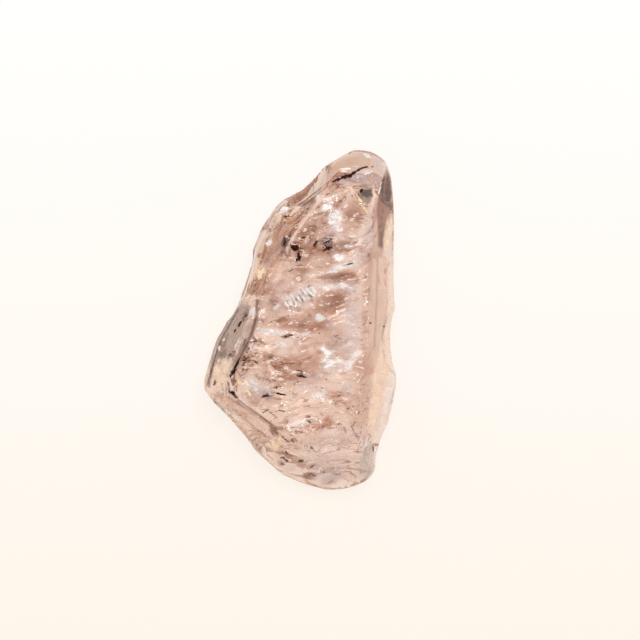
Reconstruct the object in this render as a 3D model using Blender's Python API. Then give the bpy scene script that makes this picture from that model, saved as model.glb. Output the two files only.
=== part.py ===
"""A rough morganite crystal, 32 mm long and about 43 carats, lying on its flattest face.

The stone is one solid. A block is cut down by flat facets, as a crystal parts along its faces and its breaks,
and shallow shell-shaped flakes are then scooped out of it, as beryl chips when it is knocked.
X runs across the stone, Y along it with the narrow end at +Y, and Z up from the face that it lies on.
"""

import math
from typing import NamedTuple

import bmesh
import bpy
from mathutils import Matrix, Vector

MM = 0.001

# Driving dimensions, in millimetres
LENGTH = 32.0
WIDTH = 18.1
THICKNESS = 11.0

# The block that the facets are cut from stands this far proud of the stone all round
BLOCK_MARGIN = 2.0

# The lens that scoops a flake is this many times as thick as the flake is deep, and has this many flats
LENS_FULLNESS = 3.0
LENS_SEGMENTS = 18
LENS_RINGS = 16

# Pale peach, clear inside
MORGANITE_COLOUR = (0.72, 0.47, 0.38, 1.0)
MORGANITE_ROUGHNESS = 0.08
MORGANITE_IOR = 1.58


class Facet(NamedTuple):
    """A flat face: a point that it passes through in millimetres, and the way that it faces in degrees."""

    through: tuple
    azimuth: float
    lift: float


class Flake(NamedTuple):
    """A shell-shaped break in a facet: a point over its middle, half its length and half its width, and its
    depth, in millimetres, then the azimuth of its long side and how far its floor leans, in degrees."""

    facet: str
    over: tuple
    reach: tuple
    depth: float
    heading: float = 0.0
    lean: float = 0.0


# Round the waist, anticlockwise from the right: the upper and the lower face of each side meet at one point
WAIST = {
    "right": ((8.86, 5.0, 5.6), 0.9, 27, -11),
    "right_shoulder": ((8.7, 13.2, 4.6), 14, 30, -11),
    "tip_right": ((8.35, 14.6, 3.7), 34, 28, -16),
    "tip_right_turn": ((7.74, 15.27, 3.3), 47, 29, -17),
    "tip_corner": ((7.2, 15.6, 3.1), 60, 30, -18),
    "tip_turn": ((6.18, 15.98, 3.1), 76, 33, -18),
    "tip": ((5.5, 16.0, 3.2), 90, 37, -19),
    "tip_left_turn": ((4.66, 15.98, 3.5), 104, 36, -18),
    "tip_left": ((3.2, 15.85, 4.1), 116, 34, -16),
    "neck": ((0.6, 13.1, 5.2), 131, 32, -19),
    "left_shoulder": ((-3.25, 10.2, 5.0), 146, 31, -22),
    "left": ((-5.9, 3.0, 3.7), 158, 21, -30),
    "left_low": ((-8.83, -4.6, 3.0), 166, 17, -29),
    "point": ((-9.12, -6.2, 3.9), 199, 38, -22),
    "lower_left": ((-6.0, -10.15, 4.4), 221, 31, -16),
    "lower_left_end": ((-2.1, -14.3, 3.3), 239, 31, -16),
    "foot_left": ((0.85, -15.6, 2.5), 255, 27, -20),
    "foot": ((3.2, -16.0, 2.6), 272, 29, -18),
    "foot_right": ((5.4, -15.75, 3.5), 289, 28, -17),
    "foot_turn": ((6.3, -15.2, 4.2), 304, 28, -15),
    "lobe_corner": ((6.85, -14.85, 4.8), 320, 28, -14),
    "lobe_turn": ((6.86, -14.5, 5.0), 332, 27, -13),
    "lobe": ((8.0, -10.5, 5.3), 344, 26, -13),
    "bump": ((9.1, -5.8, 5.7), 348, 34, -10),
}

# The front that looks up and its long slopes, then the back that it lies on
SLOPES = {
    "crown": Facet((1.5, 0.0, 10.8), 215, 84),
    "crown_right": Facet((4.4, -1.0, 10.9), 25, 83),
    "upper_slope": Facet((3.0, 5.0, 10.5), 86, 77),
    "tip_slope": Facet((5.0, 12.5, 8.4), 84, 66),
    "lower_slope": Facet((1.5, -7.5, 10.3), 258, 77),
    "left_slope": Facet((-3.8, 0.0, 9.8), 172, 73),
    "point_slope": Facet((-6.0, -5.6, 8.4), 205, 60),
    "base": Facet((0.0, 0.0, 0.0), 0, -90),
    "base_upper": Facet((2.5, 7.5, 0.0), 86, -76),
    "base_left": Facet((-4.0, -1.5, 0.0), 172, -70),
    "base_lower": Facet((1.0, -9.5, 0.0), 250, -72),
}

# Where the outline dips in
OUTLINE_FLAKES = (
    Flake("neck", (0.5, 13.0, 4.6), (2.5, 3.8), 0.85, heading=41),
    Flake("right", (9.1, -1.6, 4.4), (4.2, 3.4), 0.80, heading=0, lean=4),
    Flake("right", (9.0, 4.0, 4.8), (3.6, 3.8), 0.38, heading=0),
    Flake("lobe", (7.7, -11.8, 4.7), (3.4, 2.1), 0.74, heading=-16),
    Flake("left", (-5.7, 2.3, 4.0), (4.6, 3.0), 0.64, heading=68),
    Flake("lower_left", (-5.7, -9.9, 3.6), (2.8, 2.6), 0.44, heading=-44),
)

# Across the front, from the narrow end down: each bites at its upper edge and runs out at its lower one
FRONT_FLAKES = (
    Flake("tip_slope", (4.7, 12.5, 8.1), (3.0, 1.2), 0.36, heading=24, lean=-13),
    Flake("tip_slope", (6.1, 11.5, 8.4), (0.9, 0.8), 0.24, heading=70),
    Flake("upper_slope", (2.5, 10.4, 8.8), (2.3, 1.5), 0.38, heading=36, lean=-12),
    Flake("upper_slope", (5.4, 9.5, 9.0), (1.9, 1.7), 0.32, heading=8, lean=9),
    Flake("upper_slope", (3.3, 8.5, 9.2), (1.8, 1.5), 0.38, heading=62),
    Flake("upper_slope", (0.3, 7.4, 9.5), (2.4, 1.6), 0.52, heading=22, lean=-14),
    Flake("upper_slope", (3.3, 6.7, 9.6), (2.0, 1.3), 0.45, heading=-20),
    Flake("upper_slope", (5.6, 6.4, 9.7), (1.7, 1.4), 0.30, heading=10, lean=-8),
    Flake("upper_slope", (3.3, 4.8, 10.0), (3.4, 1.2), 0.40, heading=17, lean=-15),
    Flake("upper_slope", (-0.1, 4.8, 10.0), (2.3, 1.4), 0.38, heading=-12, lean=-10),
    Flake("left_slope", (-2.4, 4.4, 9.5), (1.6, 1.5), 0.32, heading=62),
    Flake("crown", (3.1, 3.1, 10.0), (3.4, 1.1), 0.38, heading=15, lean=-15),
    Flake("crown", (0.2, 2.0, 10.1), (2.8, 1.5), 0.42, heading=-32, lean=9),
    Flake("left_slope", (-2.8, 1.5, 9.6), (1.8, 1.5), 0.36, heading=66, lean=6),
    Flake("crown_right", (3.2, 1.2, 10.3), (2.4, 1.8), 0.48, heading=12, lean=7),
    Flake("crown_right", (4.9, -1.0, 10.3), (3.4, 1.2), 0.28, heading=87),
    Flake("crown", (0.9, -1.0, 10.1), (2.5, 1.6), 0.40, heading=8, lean=-12),
    Flake("crown", (-2.2, -0.7, 9.8), (2.0, 1.5), 0.36, heading=22, lean=-8),
    Flake("crown", (-2.7, -2.9, 9.6), (2.8, 1.2), 0.38, heading=8, lean=-13),
    Flake("crown", (1.6, -3.4, 10.1), (2.6, 1.4), 0.38, heading=14, lean=-10),
    Flake("crown", (-1.0, -4.9, 9.8), (2.5, 1.5), 0.40, heading=10, lean=-10),
    Flake("point_slope", (-4.2, -4.9, 9.0), (2.2, 1.5), 0.40, heading=-14, lean=-6),
    Flake("crown_right", (3.7, -5.3, 10.3), (2.4, 1.5), 0.36, heading=28, lean=-8),
    Flake("lower_slope", (1.3, -7.1, 9.7), (2.7, 1.4), 0.38, heading=18, lean=-12),
    Flake("lower_slope", (-2.1, -7.4, 9.5), (2.8, 1.4), 0.38, heading=-16, lean=-10),
    Flake("lower_slope", (4.7, -7.8, 9.7), (2.1, 1.4), 0.28, heading=82),
    Flake("lower_slope", (0.6, -9.5, 9.3), (2.7, 1.6), 0.40, heading=12, lean=-12),
    Flake("lower_slope", (3.9, -9.9, 9.3), (2.2, 1.7), 0.34, heading=28, lean=-7),
    Flake("lower_slope", (-2.4, -10.0, 8.9), (2.1, 1.3), 0.34, heading=-32),
    Flake("lower_slope", (-0.3, -11.9, 8.6), (2.4, 1.4), 0.36, heading=-26, lean=-9),
    Flake("lower_slope", (2.7, -12.2, 8.7), (2.4, 1.5), 0.38, heading=14, lean=-12),
    Flake("lower_slope", (5.1, -12.7, 8.7), (1.8, 1.6), 0.32, heading=40),
    Flake("lower_slope", (1.9, -14.0, 8.2), (2.1, 1.1), 0.30, heading=-12, lean=-8),
)

# Down the flanks
FLANK_FLAKES = (
    Flake("left_shoulder", (-1.6, 10.4, 7.1), (2.6, 2.0), 0.42, heading=56),
    Flake("left", (-3.4, 7.2, 6.9), (3.6, 1.6), 0.36, heading=62),
    Flake("left", (-4.9, 3.8, 7.9), (1.9, 1.0), 0.30, heading=68),
    Flake("left_low", (-7.0, -2.6, 6.7), (3.5, 1.5), 0.25, heading=72),
    Flake("lower_left", (-5.2, -9.0, 6.7), (3.4, 0.9), 0.34, heading=-44),
    Flake("lower_left", (-3.4, -11.5, 5.9), (3.2, 1.1), 0.34, heading=-44, lean=6),
    Flake("lower_left_end", (-0.6, -13.9, 5.9), (2.8, 1.5), 0.38, heading=-28),
    Flake("foot", (3.0, -15.2, 6.1), (3.0, 1.3), 0.20, heading=6),
    Flake("foot_right", (5.5, -14.9, 6.3), (1.8, 1.5), 0.20, heading=20),
    Flake("tip_left", (2.4, 14.9, 6.1), (2.4, 1.5), 0.30, heading=30),
)

# On the back, which the front hides
BACK_FLAKES = (
    Flake("base_upper", (1.0, 9.8, 0.8), (3.8, 2.5), 0.60, heading=32),
    Flake("base_upper", (5.2, 12.2, 1.2), (3.0, 2.1), 0.50, heading=-20),
    Flake("left_under", (-5.2, 3.6, 2.2), (4.4, 1.9), 0.50, heading=66),
    Flake("base_left", (-5.8, -3.2, 0.7), (3.8, 2.1), 0.50, heading=80),
    Flake("point_under", (-7.8, -7.2, 2.0), (2.4, 1.5), 0.36, heading=-60),
    Flake("base_lower", (-1.8, -12.0, 1.0), (3.8, 2.3), 0.60, heading=-30),
    Flake("base_lower", (3.4, -12.6, 1.2), (3.0, 2.1), 0.50, heading=15),
    Flake("base", (4.6, 4.4, 0.0), (2.3, 1.3), 0.26, heading=24),
    Flake("base", (3.4, -5.8, 0.0), (2.6, 1.4), 0.28, heading=-18),
    Flake("base", (-0.9, -6.2, 0.0), (1.7, 1.0), 0.20, heading=38),
    Flake("base_left", (-2.6, 3.2, 0.3), (2.4, 1.5), 0.34, heading=70),
    Flake("right_under", (7.6, 7.6, 2.4), (4.6, 1.7), 0.42, heading=90),
    Flake("right_under", (8.2, -1.7, 4.0), (3.6, 2.4), 0.46, heading=90),
)


def facing(azimuth, lift):
    """The unit vector at that azimuth from +X towards +Y and that lift above the horizon, both in degrees."""
    turn = math.radians(azimuth)
    rise = math.radians(lift)
    return Vector((math.cos(turn) * math.cos(rise), math.sin(turn) * math.cos(rise), math.sin(rise)))


def all_facets():
    """Every flat face by name: two for each side of the waist, and the slopes."""
    facets = {}
    for name, (through, azimuth, upper, lower) in WAIST.items():
        facets[name] = Facet(through, azimuth, upper)
        facets[name + "_under"] = Facet(through, azimuth, lower)
    return {**facets, **SLOPES}


def cut_facet(bm, facet):
    """Cuts off what lies outside the facet and closes the cut with one flat face."""
    cut = bmesh.ops.bisect_plane(
        bm,
        geom=bm.verts[:] + bm.edges[:] + bm.faces[:],
        dist=1e-9,
        plane_co=Vector(facet.through) * MM,
        plane_no=facing(facet.azimuth, facet.lift),
        clear_outer=True,
    )
    rim = [item for item in cut["geom_cut"] if isinstance(item, bmesh.types.BMEdge)]
    bmesh.ops.contextual_create(bm, geom=rim)


def lens_place(flake, facet):
    """The matrix that draws a unit ball out into the flake's lens, with its middle over the facet."""
    normal = facing(facet.azimuth, facet.lift)
    over = Vector(flake.over)
    middle = over - normal * (over - Vector(facet.through)).dot(normal)
    along = facing(flake.heading, 0)
    along = (along - normal * along.dot(normal)).normalized()
    floor = Matrix.Rotation(math.radians(flake.lean), 3, along) @ normal
    across = floor.cross(along)
    thick = flake.depth * LENS_FULLNESS
    height = thick - flake.depth
    widen = 1 / math.sqrt(1 - (height / thick) ** 2)
    axes = Matrix((along, across, floor)).transposed().to_4x4()
    radii = Matrix.Diagonal((flake.reach[0] * widen, flake.reach[1] * widen, thick, 1.0))
    return Matrix.Scale(MM, 4) @ Matrix.Translation(middle + floor * height) @ axes @ radii


def convex_stone():
    """The block cut down by every facet, as a mesh."""
    bm = bmesh.new()
    size = Vector((WIDTH, LENGTH, THICKNESS)) + Vector((BLOCK_MARGIN, BLOCK_MARGIN, BLOCK_MARGIN))
    place = Matrix.Translation((0.0, 0.0, THICKNESS / 2)) @ Matrix.Diagonal(size.to_4d())
    bmesh.ops.create_cube(bm, size=1.0, matrix=Matrix.Scale(MM, 4) @ place)
    for facet in all_facets().values():
        cut_facet(bm, facet)
    bmesh.ops.recalc_face_normals(bm, faces=bm.faces[:])
    mesh = bpy.data.meshes.new("morganite")
    bm.to_mesh(mesh)
    bm.free()
    return mesh


def flake_cutter(flake, facet, number):
    """One lens, out of the render, that a Boolean takes away."""
    bm = bmesh.new()
    bmesh.ops.create_uvsphere(
        bm, u_segments=LENS_SEGMENTS, v_segments=LENS_RINGS, radius=1.0, matrix=lens_place(flake, facet)
    )
    bmesh.ops.recalc_face_normals(bm, faces=bm.faces[:])
    mesh = bpy.data.meshes.new(f"flake_{number}")
    bm.to_mesh(mesh)
    bm.free()
    cutter = bpy.data.objects.new(mesh.name, mesh)
    cutter.hide_render = True
    cutter.display_type = "WIRE"
    return cutter


def morganite_material():
    material = bpy.data.materials.new("morganite")
    material.use_nodes = True
    shader = material.node_tree.nodes["Principled BSDF"]
    shader.inputs["Base Color"].default_value = MORGANITE_COLOUR
    shader.inputs["Roughness"].default_value = MORGANITE_ROUGHNESS
    shader.inputs["Metallic"].default_value = 0.0
    shader.inputs["IOR"].default_value = MORGANITE_IOR
    shader.inputs["Transmission Weight"].default_value = 1.0
    return material


def main():
    for obj in list(bpy.data.objects):
        bpy.data.objects.remove(obj)
    stone_set = bpy.data.collections.new("morganite")
    cutter_set = bpy.data.collections.new("flake_cutters")
    bpy.context.scene.collection.children.link(stone_set)
    bpy.context.scene.collection.children.link(cutter_set)

    stone = bpy.data.objects.new("morganite", convex_stone())
    stone.data.materials.append(morganite_material())
    stone_set.objects.link(stone)

    facets = all_facets()
    flakes = OUTLINE_FLAKES + FRONT_FLAKES + FLANK_FLAKES + BACK_FLAKES
    for number, flake in enumerate(flakes):
        cutter_set.objects.link(flake_cutter(flake, facets[flake.facet], number))

    scoop = stone.modifiers.new("flakes", "BOOLEAN")
    scoop.operation = "DIFFERENCE"
    scoop.solver = "EXACT"
    scoop.operand_type = "COLLECTION"
    scoop.collection = cutter_set


main()
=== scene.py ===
"""A rough morganite, 32 mm long, on its flattest face: a clear pale peach crystal, full of fractures."""

import bpy
import numpy as np
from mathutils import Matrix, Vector


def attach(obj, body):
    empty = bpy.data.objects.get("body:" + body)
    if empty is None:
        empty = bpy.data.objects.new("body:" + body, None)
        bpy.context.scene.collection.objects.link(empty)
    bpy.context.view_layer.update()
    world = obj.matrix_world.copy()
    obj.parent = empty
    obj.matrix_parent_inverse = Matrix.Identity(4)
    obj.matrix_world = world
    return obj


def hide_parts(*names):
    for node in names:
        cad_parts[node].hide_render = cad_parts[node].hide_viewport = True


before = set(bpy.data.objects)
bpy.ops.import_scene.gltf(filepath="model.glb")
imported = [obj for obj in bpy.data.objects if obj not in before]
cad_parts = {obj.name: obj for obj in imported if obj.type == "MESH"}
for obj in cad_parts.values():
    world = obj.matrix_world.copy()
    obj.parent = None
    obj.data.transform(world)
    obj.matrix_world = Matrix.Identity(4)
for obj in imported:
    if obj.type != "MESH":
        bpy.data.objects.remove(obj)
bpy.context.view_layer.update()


# The crystal itself, pale peach beryl, clear where it is whole. Its growth ended in flat faces, the mine's
# breaks cut it short, and shell-shaped flakes came off wherever it was knocked. Millimetres and degrees.
MM = 0.001
CENTRE = np.array([1.0, -0.6, 4.8])

# Each side of the waist: a point of it, its azimuth, and the lifts of its upper and its lower face
WAIST = {
    "right": ((8.86, 5.0, 5.6), 0.9, 27, -11),
    "right_shoulder": ((8.7, 13.2, 4.6), 14, 30, -11),
    "tip_right": ((8.35, 14.6, 3.7), 34, 28, -16),
    "tip_right_turn": ((7.74, 15.27, 3.3), 47, 29, -17),
    "tip_corner": ((7.2, 15.6, 3.1), 60, 30, -18),
    "tip_turn": ((6.18, 15.98, 3.1), 76, 33, -18),
    "tip": ((5.5, 16.0, 3.2), 90, 37, -19),
    "tip_left_turn": ((4.66, 15.98, 3.5), 104, 36, -18),
    "tip_left": ((3.2, 15.85, 4.1), 116, 34, -16),
    "neck": ((0.6, 13.1, 5.2), 131, 32, -19),
    "left_shoulder": ((-3.25, 10.2, 5.0), 146, 31, -22),
    "left": ((-5.9, 3.0, 3.7), 158, 21, -30),
    "left_low": ((-8.83, -4.6, 3.0), 166, 17, -29),
    "point": ((-9.12, -6.2, 3.9), 199, 38, -22),
    "lower_left": ((-6.0, -10.15, 4.4), 221, 31, -16),
    "lower_left_end": ((-2.1, -14.3, 3.3), 239, 31, -16),
    "foot_left": ((0.85, -15.6, 2.5), 255, 27, -20),
    "foot": ((3.2, -16.0, 2.6), 272, 29, -18),
    "foot_right": ((5.4, -15.75, 3.5), 289, 28, -17),
    "foot_turn": ((6.3, -15.2, 4.2), 304, 28, -15),
    "lobe_corner": ((6.85, -14.85, 4.8), 320, 28, -14),
    "lobe_turn": ((6.86, -14.5, 5.0), 332, 27, -13),
    "lobe": ((8.0, -10.5, 5.3), 344, 26, -13),
    "bump": ((9.1, -5.8, 5.7), 348, 34, -10),
}

# The slopes of the front, then those of the back: a point, the azimuth and the lift
SLOPES = {
    "crown": ((1.5, 0.0, 10.8), 215, 84),
    "crown_right": ((4.4, -1.0, 10.9), 25, 83),
    "upper_slope": ((3.0, 5.0, 10.5), 86, 77),
    "tip_slope": ((5.0, 12.5, 8.4), 84, 66),
    "lower_slope": ((1.5, -7.5, 10.3), 258, 77),
    "left_slope": ((-3.8, 0.0, 9.8), 172, 73),
    "point_slope": ((-6.0, -5.6, 8.4), 205, 60),
    "base": ((0.0, 0.0, 0.0), 0, -90),
    "base_upper": ((2.5, 7.5, 0.0), 86, -76),
    "base_left": ((-4.0, -1.5, 0.0), 172, -70),
    "base_lower": ((1.0, -9.5, 0.0), 250, -72),
}

# Each flake: the facet it left, a point over its middle, its half length and half width, its depth,
# the azimuth of its long side, and how far its floor leans
FLAKES = (
    ("neck", (0.5, 13.0, 4.6), (2.5, 3.8), 0.85, 41, 0),
    ("right", (9.1, -1.6, 4.4), (4.2, 3.4), 0.80, 0, 4),
    ("right", (9.0, 4.0, 4.8), (3.6, 3.8), 0.38, 0, 0),
    ("lobe", (7.7, -11.8, 4.7), (3.4, 2.1), 0.74, -16, 0),
    ("left", (-5.7, 2.3, 4.0), (4.6, 3.0), 0.64, 68, 0),
    ("lower_left", (-5.7, -9.9, 3.6), (2.8, 2.6), 0.44, -44, 0),
    ("tip_slope", (4.7, 12.5, 8.1), (3.0, 1.2), 0.36, 24, -13),
    ("tip_slope", (6.1, 11.5, 8.4), (0.9, 0.8), 0.24, 70, 0),
    ("upper_slope", (2.5, 10.4, 8.8), (2.3, 1.5), 0.38, 36, -12),
    ("upper_slope", (5.4, 9.5, 9.0), (1.9, 1.7), 0.32, 8, 9),
    ("upper_slope", (3.3, 8.5, 9.2), (1.8, 1.5), 0.38, 62, 0),
    ("upper_slope", (0.3, 7.4, 9.5), (2.4, 1.6), 0.52, 22, -14),
    ("upper_slope", (3.3, 6.7, 9.6), (2.0, 1.3), 0.45, -20, 0),
    ("upper_slope", (5.6, 6.4, 9.7), (1.7, 1.4), 0.30, 10, -8),
    ("upper_slope", (3.3, 4.8, 10.0), (3.4, 1.2), 0.40, 17, -15),
    ("upper_slope", (-0.1, 4.8, 10.0), (2.3, 1.4), 0.38, -12, -10),
    ("left_slope", (-2.4, 4.4, 9.5), (1.6, 1.5), 0.32, 62, 0),
    ("crown", (3.1, 3.1, 10.0), (3.4, 1.1), 0.38, 15, -15),
    ("crown", (0.2, 2.0, 10.1), (2.8, 1.5), 0.42, -32, 9),
    ("left_slope", (-2.8, 1.5, 9.6), (1.8, 1.5), 0.36, 66, 6),
    ("crown_right", (3.2, 1.2, 10.3), (2.4, 1.8), 0.48, 12, 7),
    ("crown_right", (4.9, -1.0, 10.3), (3.4, 1.2), 0.28, 87, 0),
    ("crown", (0.9, -1.0, 10.1), (2.5, 1.6), 0.40, 8, -12),
    ("crown", (-2.2, -0.7, 9.8), (2.0, 1.5), 0.36, 22, -8),
    ("crown", (-2.7, -2.9, 9.6), (2.8, 1.2), 0.38, 8, -13),
    ("crown", (1.6, -3.4, 10.1), (2.6, 1.4), 0.38, 14, -10),
    ("crown", (-1.0, -4.9, 9.8), (2.5, 1.5), 0.40, 10, -10),
    ("point_slope", (-4.2, -4.9, 9.0), (2.2, 1.5), 0.40, -14, -6),
    ("crown_right", (3.7, -5.3, 10.3), (2.4, 1.5), 0.36, 28, -8),
    ("lower_slope", (1.3, -7.1, 9.7), (2.7, 1.4), 0.38, 18, -12),
    ("lower_slope", (-2.1, -7.4, 9.5), (2.8, 1.4), 0.38, -16, -10),
    ("lower_slope", (4.7, -7.8, 9.7), (2.1, 1.4), 0.28, 82, 0),
    ("lower_slope", (0.6, -9.5, 9.3), (2.7, 1.6), 0.40, 12, -12),
    ("lower_slope", (3.9, -9.9, 9.3), (2.2, 1.7), 0.34, 28, -7),
    ("lower_slope", (-2.4, -10.0, 8.9), (2.1, 1.3), 0.34, -32, 0),
    ("lower_slope", (-0.3, -11.9, 8.6), (2.4, 1.4), 0.36, -26, -9),
    ("lower_slope", (2.7, -12.2, 8.7), (2.4, 1.5), 0.38, 14, -12),
    ("lower_slope", (5.1, -12.7, 8.7), (1.8, 1.6), 0.32, 40, 0),
    ("lower_slope", (1.9, -14.0, 8.2), (2.1, 1.1), 0.30, -12, -8),
    ("left_shoulder", (-1.6, 10.4, 7.1), (2.6, 2.0), 0.42, 56, 0),
    ("left", (-3.4, 7.2, 6.9), (3.6, 1.6), 0.36, 62, 0),
    ("left", (-4.9, 3.8, 7.9), (1.9, 1.0), 0.30, 68, 0),
    ("left_low", (-7.0, -2.6, 6.7), (3.5, 1.5), 0.25, 72, 0),
    ("lower_left", (-5.2, -9.0, 6.7), (3.4, 0.9), 0.34, -44, 0),
    ("lower_left", (-3.4, -11.5, 5.9), (3.2, 1.1), 0.34, -44, 6),
    ("lower_left_end", (-0.6, -13.9, 5.9), (2.8, 1.5), 0.38, -28, 0),
    ("foot", (3.0, -15.2, 6.1), (3.0, 1.3), 0.20, 6, 0),
    ("foot_right", (5.5, -14.9, 6.3), (1.8, 1.5), 0.20, 20, 0),
    ("tip_left", (2.4, 14.9, 6.1), (2.4, 1.5), 0.30, 30, 0),
    ("base_upper", (1.0, 9.8, 0.8), (3.8, 2.5), 0.60, 32, 0),
    ("base_upper", (5.2, 12.2, 1.2), (3.0, 2.1), 0.50, -20, 0),
    ("left_under", (-5.2, 3.6, 2.2), (4.4, 1.9), 0.50, 66, 0),
    ("base_left", (-5.8, -3.2, 0.7), (3.8, 2.1), 0.50, 80, 0),
    ("point_under", (-7.8, -7.2, 2.0), (2.4, 1.5), 0.36, -60, 0),
    ("base_lower", (-1.8, -12.0, 1.0), (3.8, 2.3), 0.60, -30, 0),
    ("base_lower", (3.4, -12.6, 1.2), (3.0, 2.1), 0.50, 15, 0),
    ("base", (4.6, 4.4, 0.0), (2.3, 1.3), 0.26, 24, 0),
    ("base", (3.4, -5.8, 0.0), (2.6, 1.4), 0.28, -18, 0),
    ("base", (-0.9, -6.2, 0.0), (1.7, 1.0), 0.20, 38, 0),
    ("base_left", (-2.6, 3.2, 0.3), (2.4, 1.5), 0.34, 70, 0),
    ("right_under", (7.6, 7.6, 2.4), (4.6, 1.7), 0.42, 90, 0),
    ("right_under", (8.2, -1.7, 4.0), (3.6, 2.4), 0.46, 90, 0),
)


def facing(azimuth, lift):
    """Unit vectors at these azimuths from +X towards +Y and these lifts above the horizon, in degrees."""
    turn, rise = np.radians(azimuth), np.radians(lift)
    return np.stack([np.cos(turn) * np.cos(rise), np.sin(turn) * np.cos(rise), np.sin(rise)], axis=-1)


def unit(vectors):
    """The vectors, each divided by its length."""
    return vectors / np.linalg.norm(vectors, axis=-1, keepdims=True)


facets = {}
for name, (through, azimuth, lift) in SLOPES.items():
    facets[name] = (np.array(through), facing(azimuth, lift))
for name, (through, azimuth, upper, lower) in WAIST.items():
    facets[name] = (np.array(through), facing(azimuth, upper))
    facets[name + "_under"] = (np.array(through), facing(azimuth, lower))
facet_points = np.array([through for through, normal in facets.values()])
facet_normals = np.array([normal for through, normal in facets.values()])

# How many times a flake's depth lies between its ball's middle and its floor, and how far wear rounds edges
LENS_FULLNESS = 3.0
EDGE_WEAR = 0.05
# A length past everything on the stone, and the least rise towards a facet that still counts as meeting it
FAR = 1e3
LEAST_RISE = 1e-6
# How finely headings are sorted into bundles each way, and the weights that number the bundles
BUNDLES = 6
BUNDLE_PLACES = np.array([1, 100, 10000])


def lens(middle, normal, reach, depth, heading, lean):
    """A flake's ball: its own middle, and the matrix that turns a vector into the ball's radii. The ball is
    drawn out along the heading laid in the facet, and tipped about that line by the lean."""
    along = facing(heading, 0)
    along = unit(along - normal * (along @ normal))
    side = np.cross(normal, along)
    floor = normal * np.cos(np.radians(lean)) - side * np.sin(np.radians(lean))
    across = np.cross(floor, along)
    thick = depth * LENS_FULLNESS
    height = thick - depth
    widen = 1 / np.sqrt(1 - (height / thick) ** 2)
    radii = np.array([reach[0] * widen, reach[1] * widen, thick])
    return middle + floor * height, np.stack([along, across, floor]) / radii[:, None]


def balls_of(lenses):
    """The balls' middles and matrices as two arrays, then the axis and half angle of the cone about the
    stone's centre that holds each."""
    middles = np.array([middle for middle, shrink in lenses])
    shrinks = np.array([shrink for middle, shrink in lenses])
    away = np.linalg.norm(middles - CENTRE, axis=1)
    widest = 1 / np.linalg.norm(shrinks, axis=2).min(axis=1)
    angle = np.where(widest < away, np.arcsin(np.minimum(widest / away, 1)), np.pi)
    return middles, shrinks, (middles - CENTRE) / away[:, None], angle


def first_entry(heading, middles, shrinks):
    """How far from the centre each unit heading first meets any of the balls, or far past the stone where
    it meets none: the nearer root of each ball's quadratic, and the least of them."""
    start = np.einsum("bij,bj->bi", shrinks, CENTRE - middles)
    step = np.einsum("bij,nj->bni", shrinks, heading)
    a = np.sum(step * step, axis=2)
    b = np.einsum("bni,bi->bn", step, start)
    inside = b * b - a * (np.sum(start * start, axis=1) - 1)[:, None]
    entry = np.where((inside > 0) & (b < 0), (-b - np.sqrt(np.maximum(inside, 0))) / a, FAR)
    return entry.min(axis=0)


def stone_reach(heading, balls):
    """How far the stone reaches from its centre along each unit heading: to the nearest facet, by a soft
    minimum that rounds the edges as wear does, or to the near side of a flake's ball if that comes first.
    The headings are taken in bundles, each tried only on the balls whose cones it meets."""
    middles, shrinks, axes, angles = balls
    toward = heading @ facet_normals.T
    gap = np.sum((facet_points - CENTRE) * facet_normals, axis=1)
    to_facet = np.where(toward > LEAST_RISE, gap / np.maximum(toward, LEAST_RISE), FAR)
    nearest = to_facet.min(axis=1)
    spread = np.exp(-(to_facet - nearest[:, None]) / EDGE_WEAR).sum(axis=1)
    reach = nearest - EDGE_WEAR * np.log(spread)
    bundle = np.floor(heading * BUNDLES).astype(int) @ BUNDLE_PLACES
    order = np.argsort(bundle, kind="stable")
    for part in np.split(order, np.flatnonzero(np.diff(bundle[order])) + 1):
        axis = unit(heading[part].mean(axis=0))
        half = np.arccos(np.clip((heading[part] @ axis).min(), -1, 1))
        near = np.arccos(np.clip(axes @ axis, -1, 1)) < angles + half
        if near.any():
            reach[part] = np.minimum(reach[part], first_entry(heading[part], middles[near], shrinks[near]))
    return reach


def stone_point(heading, balls):
    """The point of the surface along each unit heading from the stone's centre."""
    return CENTRE + heading * stone_reach(heading, balls)[:, None]


flakes = []
for name, over, reach, depth, heading, lean in FLAKES:
    through, normal = facets[name]
    middle = np.array(over) - normal * ((np.array(over) - through) @ normal)
    flakes.append(lens(middle, normal, reach, depth, heading, lean))
flake_balls = balls_of(flakes)


def block_grid(cells):
    """The points of a grid on a block's six sides, from -1 to 1 each way, and the squares between them."""
    onward = ((0, 0), (1, 0), (1, 1), (0, 1))
    backward = ((0, 0), (0, 1), (1, 1), (1, 0))
    corners = []
    for axis in range(3):
        b, c = (axis + 1) % 3, (axis + 2) % 3
        i, j = np.meshgrid(np.arange(cells[b]), np.arange(cells[c]), indexing="ij")
        for side, steps in ((cells[axis], onward), (0, backward)):
            square = np.zeros((i.size, 4, 3), int)
            for n, (di, dj) in enumerate(steps):
                square[:, n, axis] = side
                square[:, n, b] = i.ravel() + di
                square[:, n, c] = j.ravel() + dj
            corners.append(square)
    corners = np.concatenate(corners)
    key = corners @ np.array([1, cells[0] + 1, (cells[0] + 1) * (cells[1] + 1)])
    _, first, index = np.unique(key.ravel(), return_index=True, return_inverse=True)
    points = corners.reshape(-1, 3)[first] / cells * 2 - 1
    return points, index.reshape(-1, 4)


# The primes and bit masks that turn whole numbers into random ones
CORNER_PRIMES = np.array([73856093, 19349663, 83492791])
SEED_PRIME = 2654435761
MIXING_PRIME = 1274126177
POSITIVE_BITS = 0x7FFFFFFF
VALUE_BITS = 0xFFFF


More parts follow.
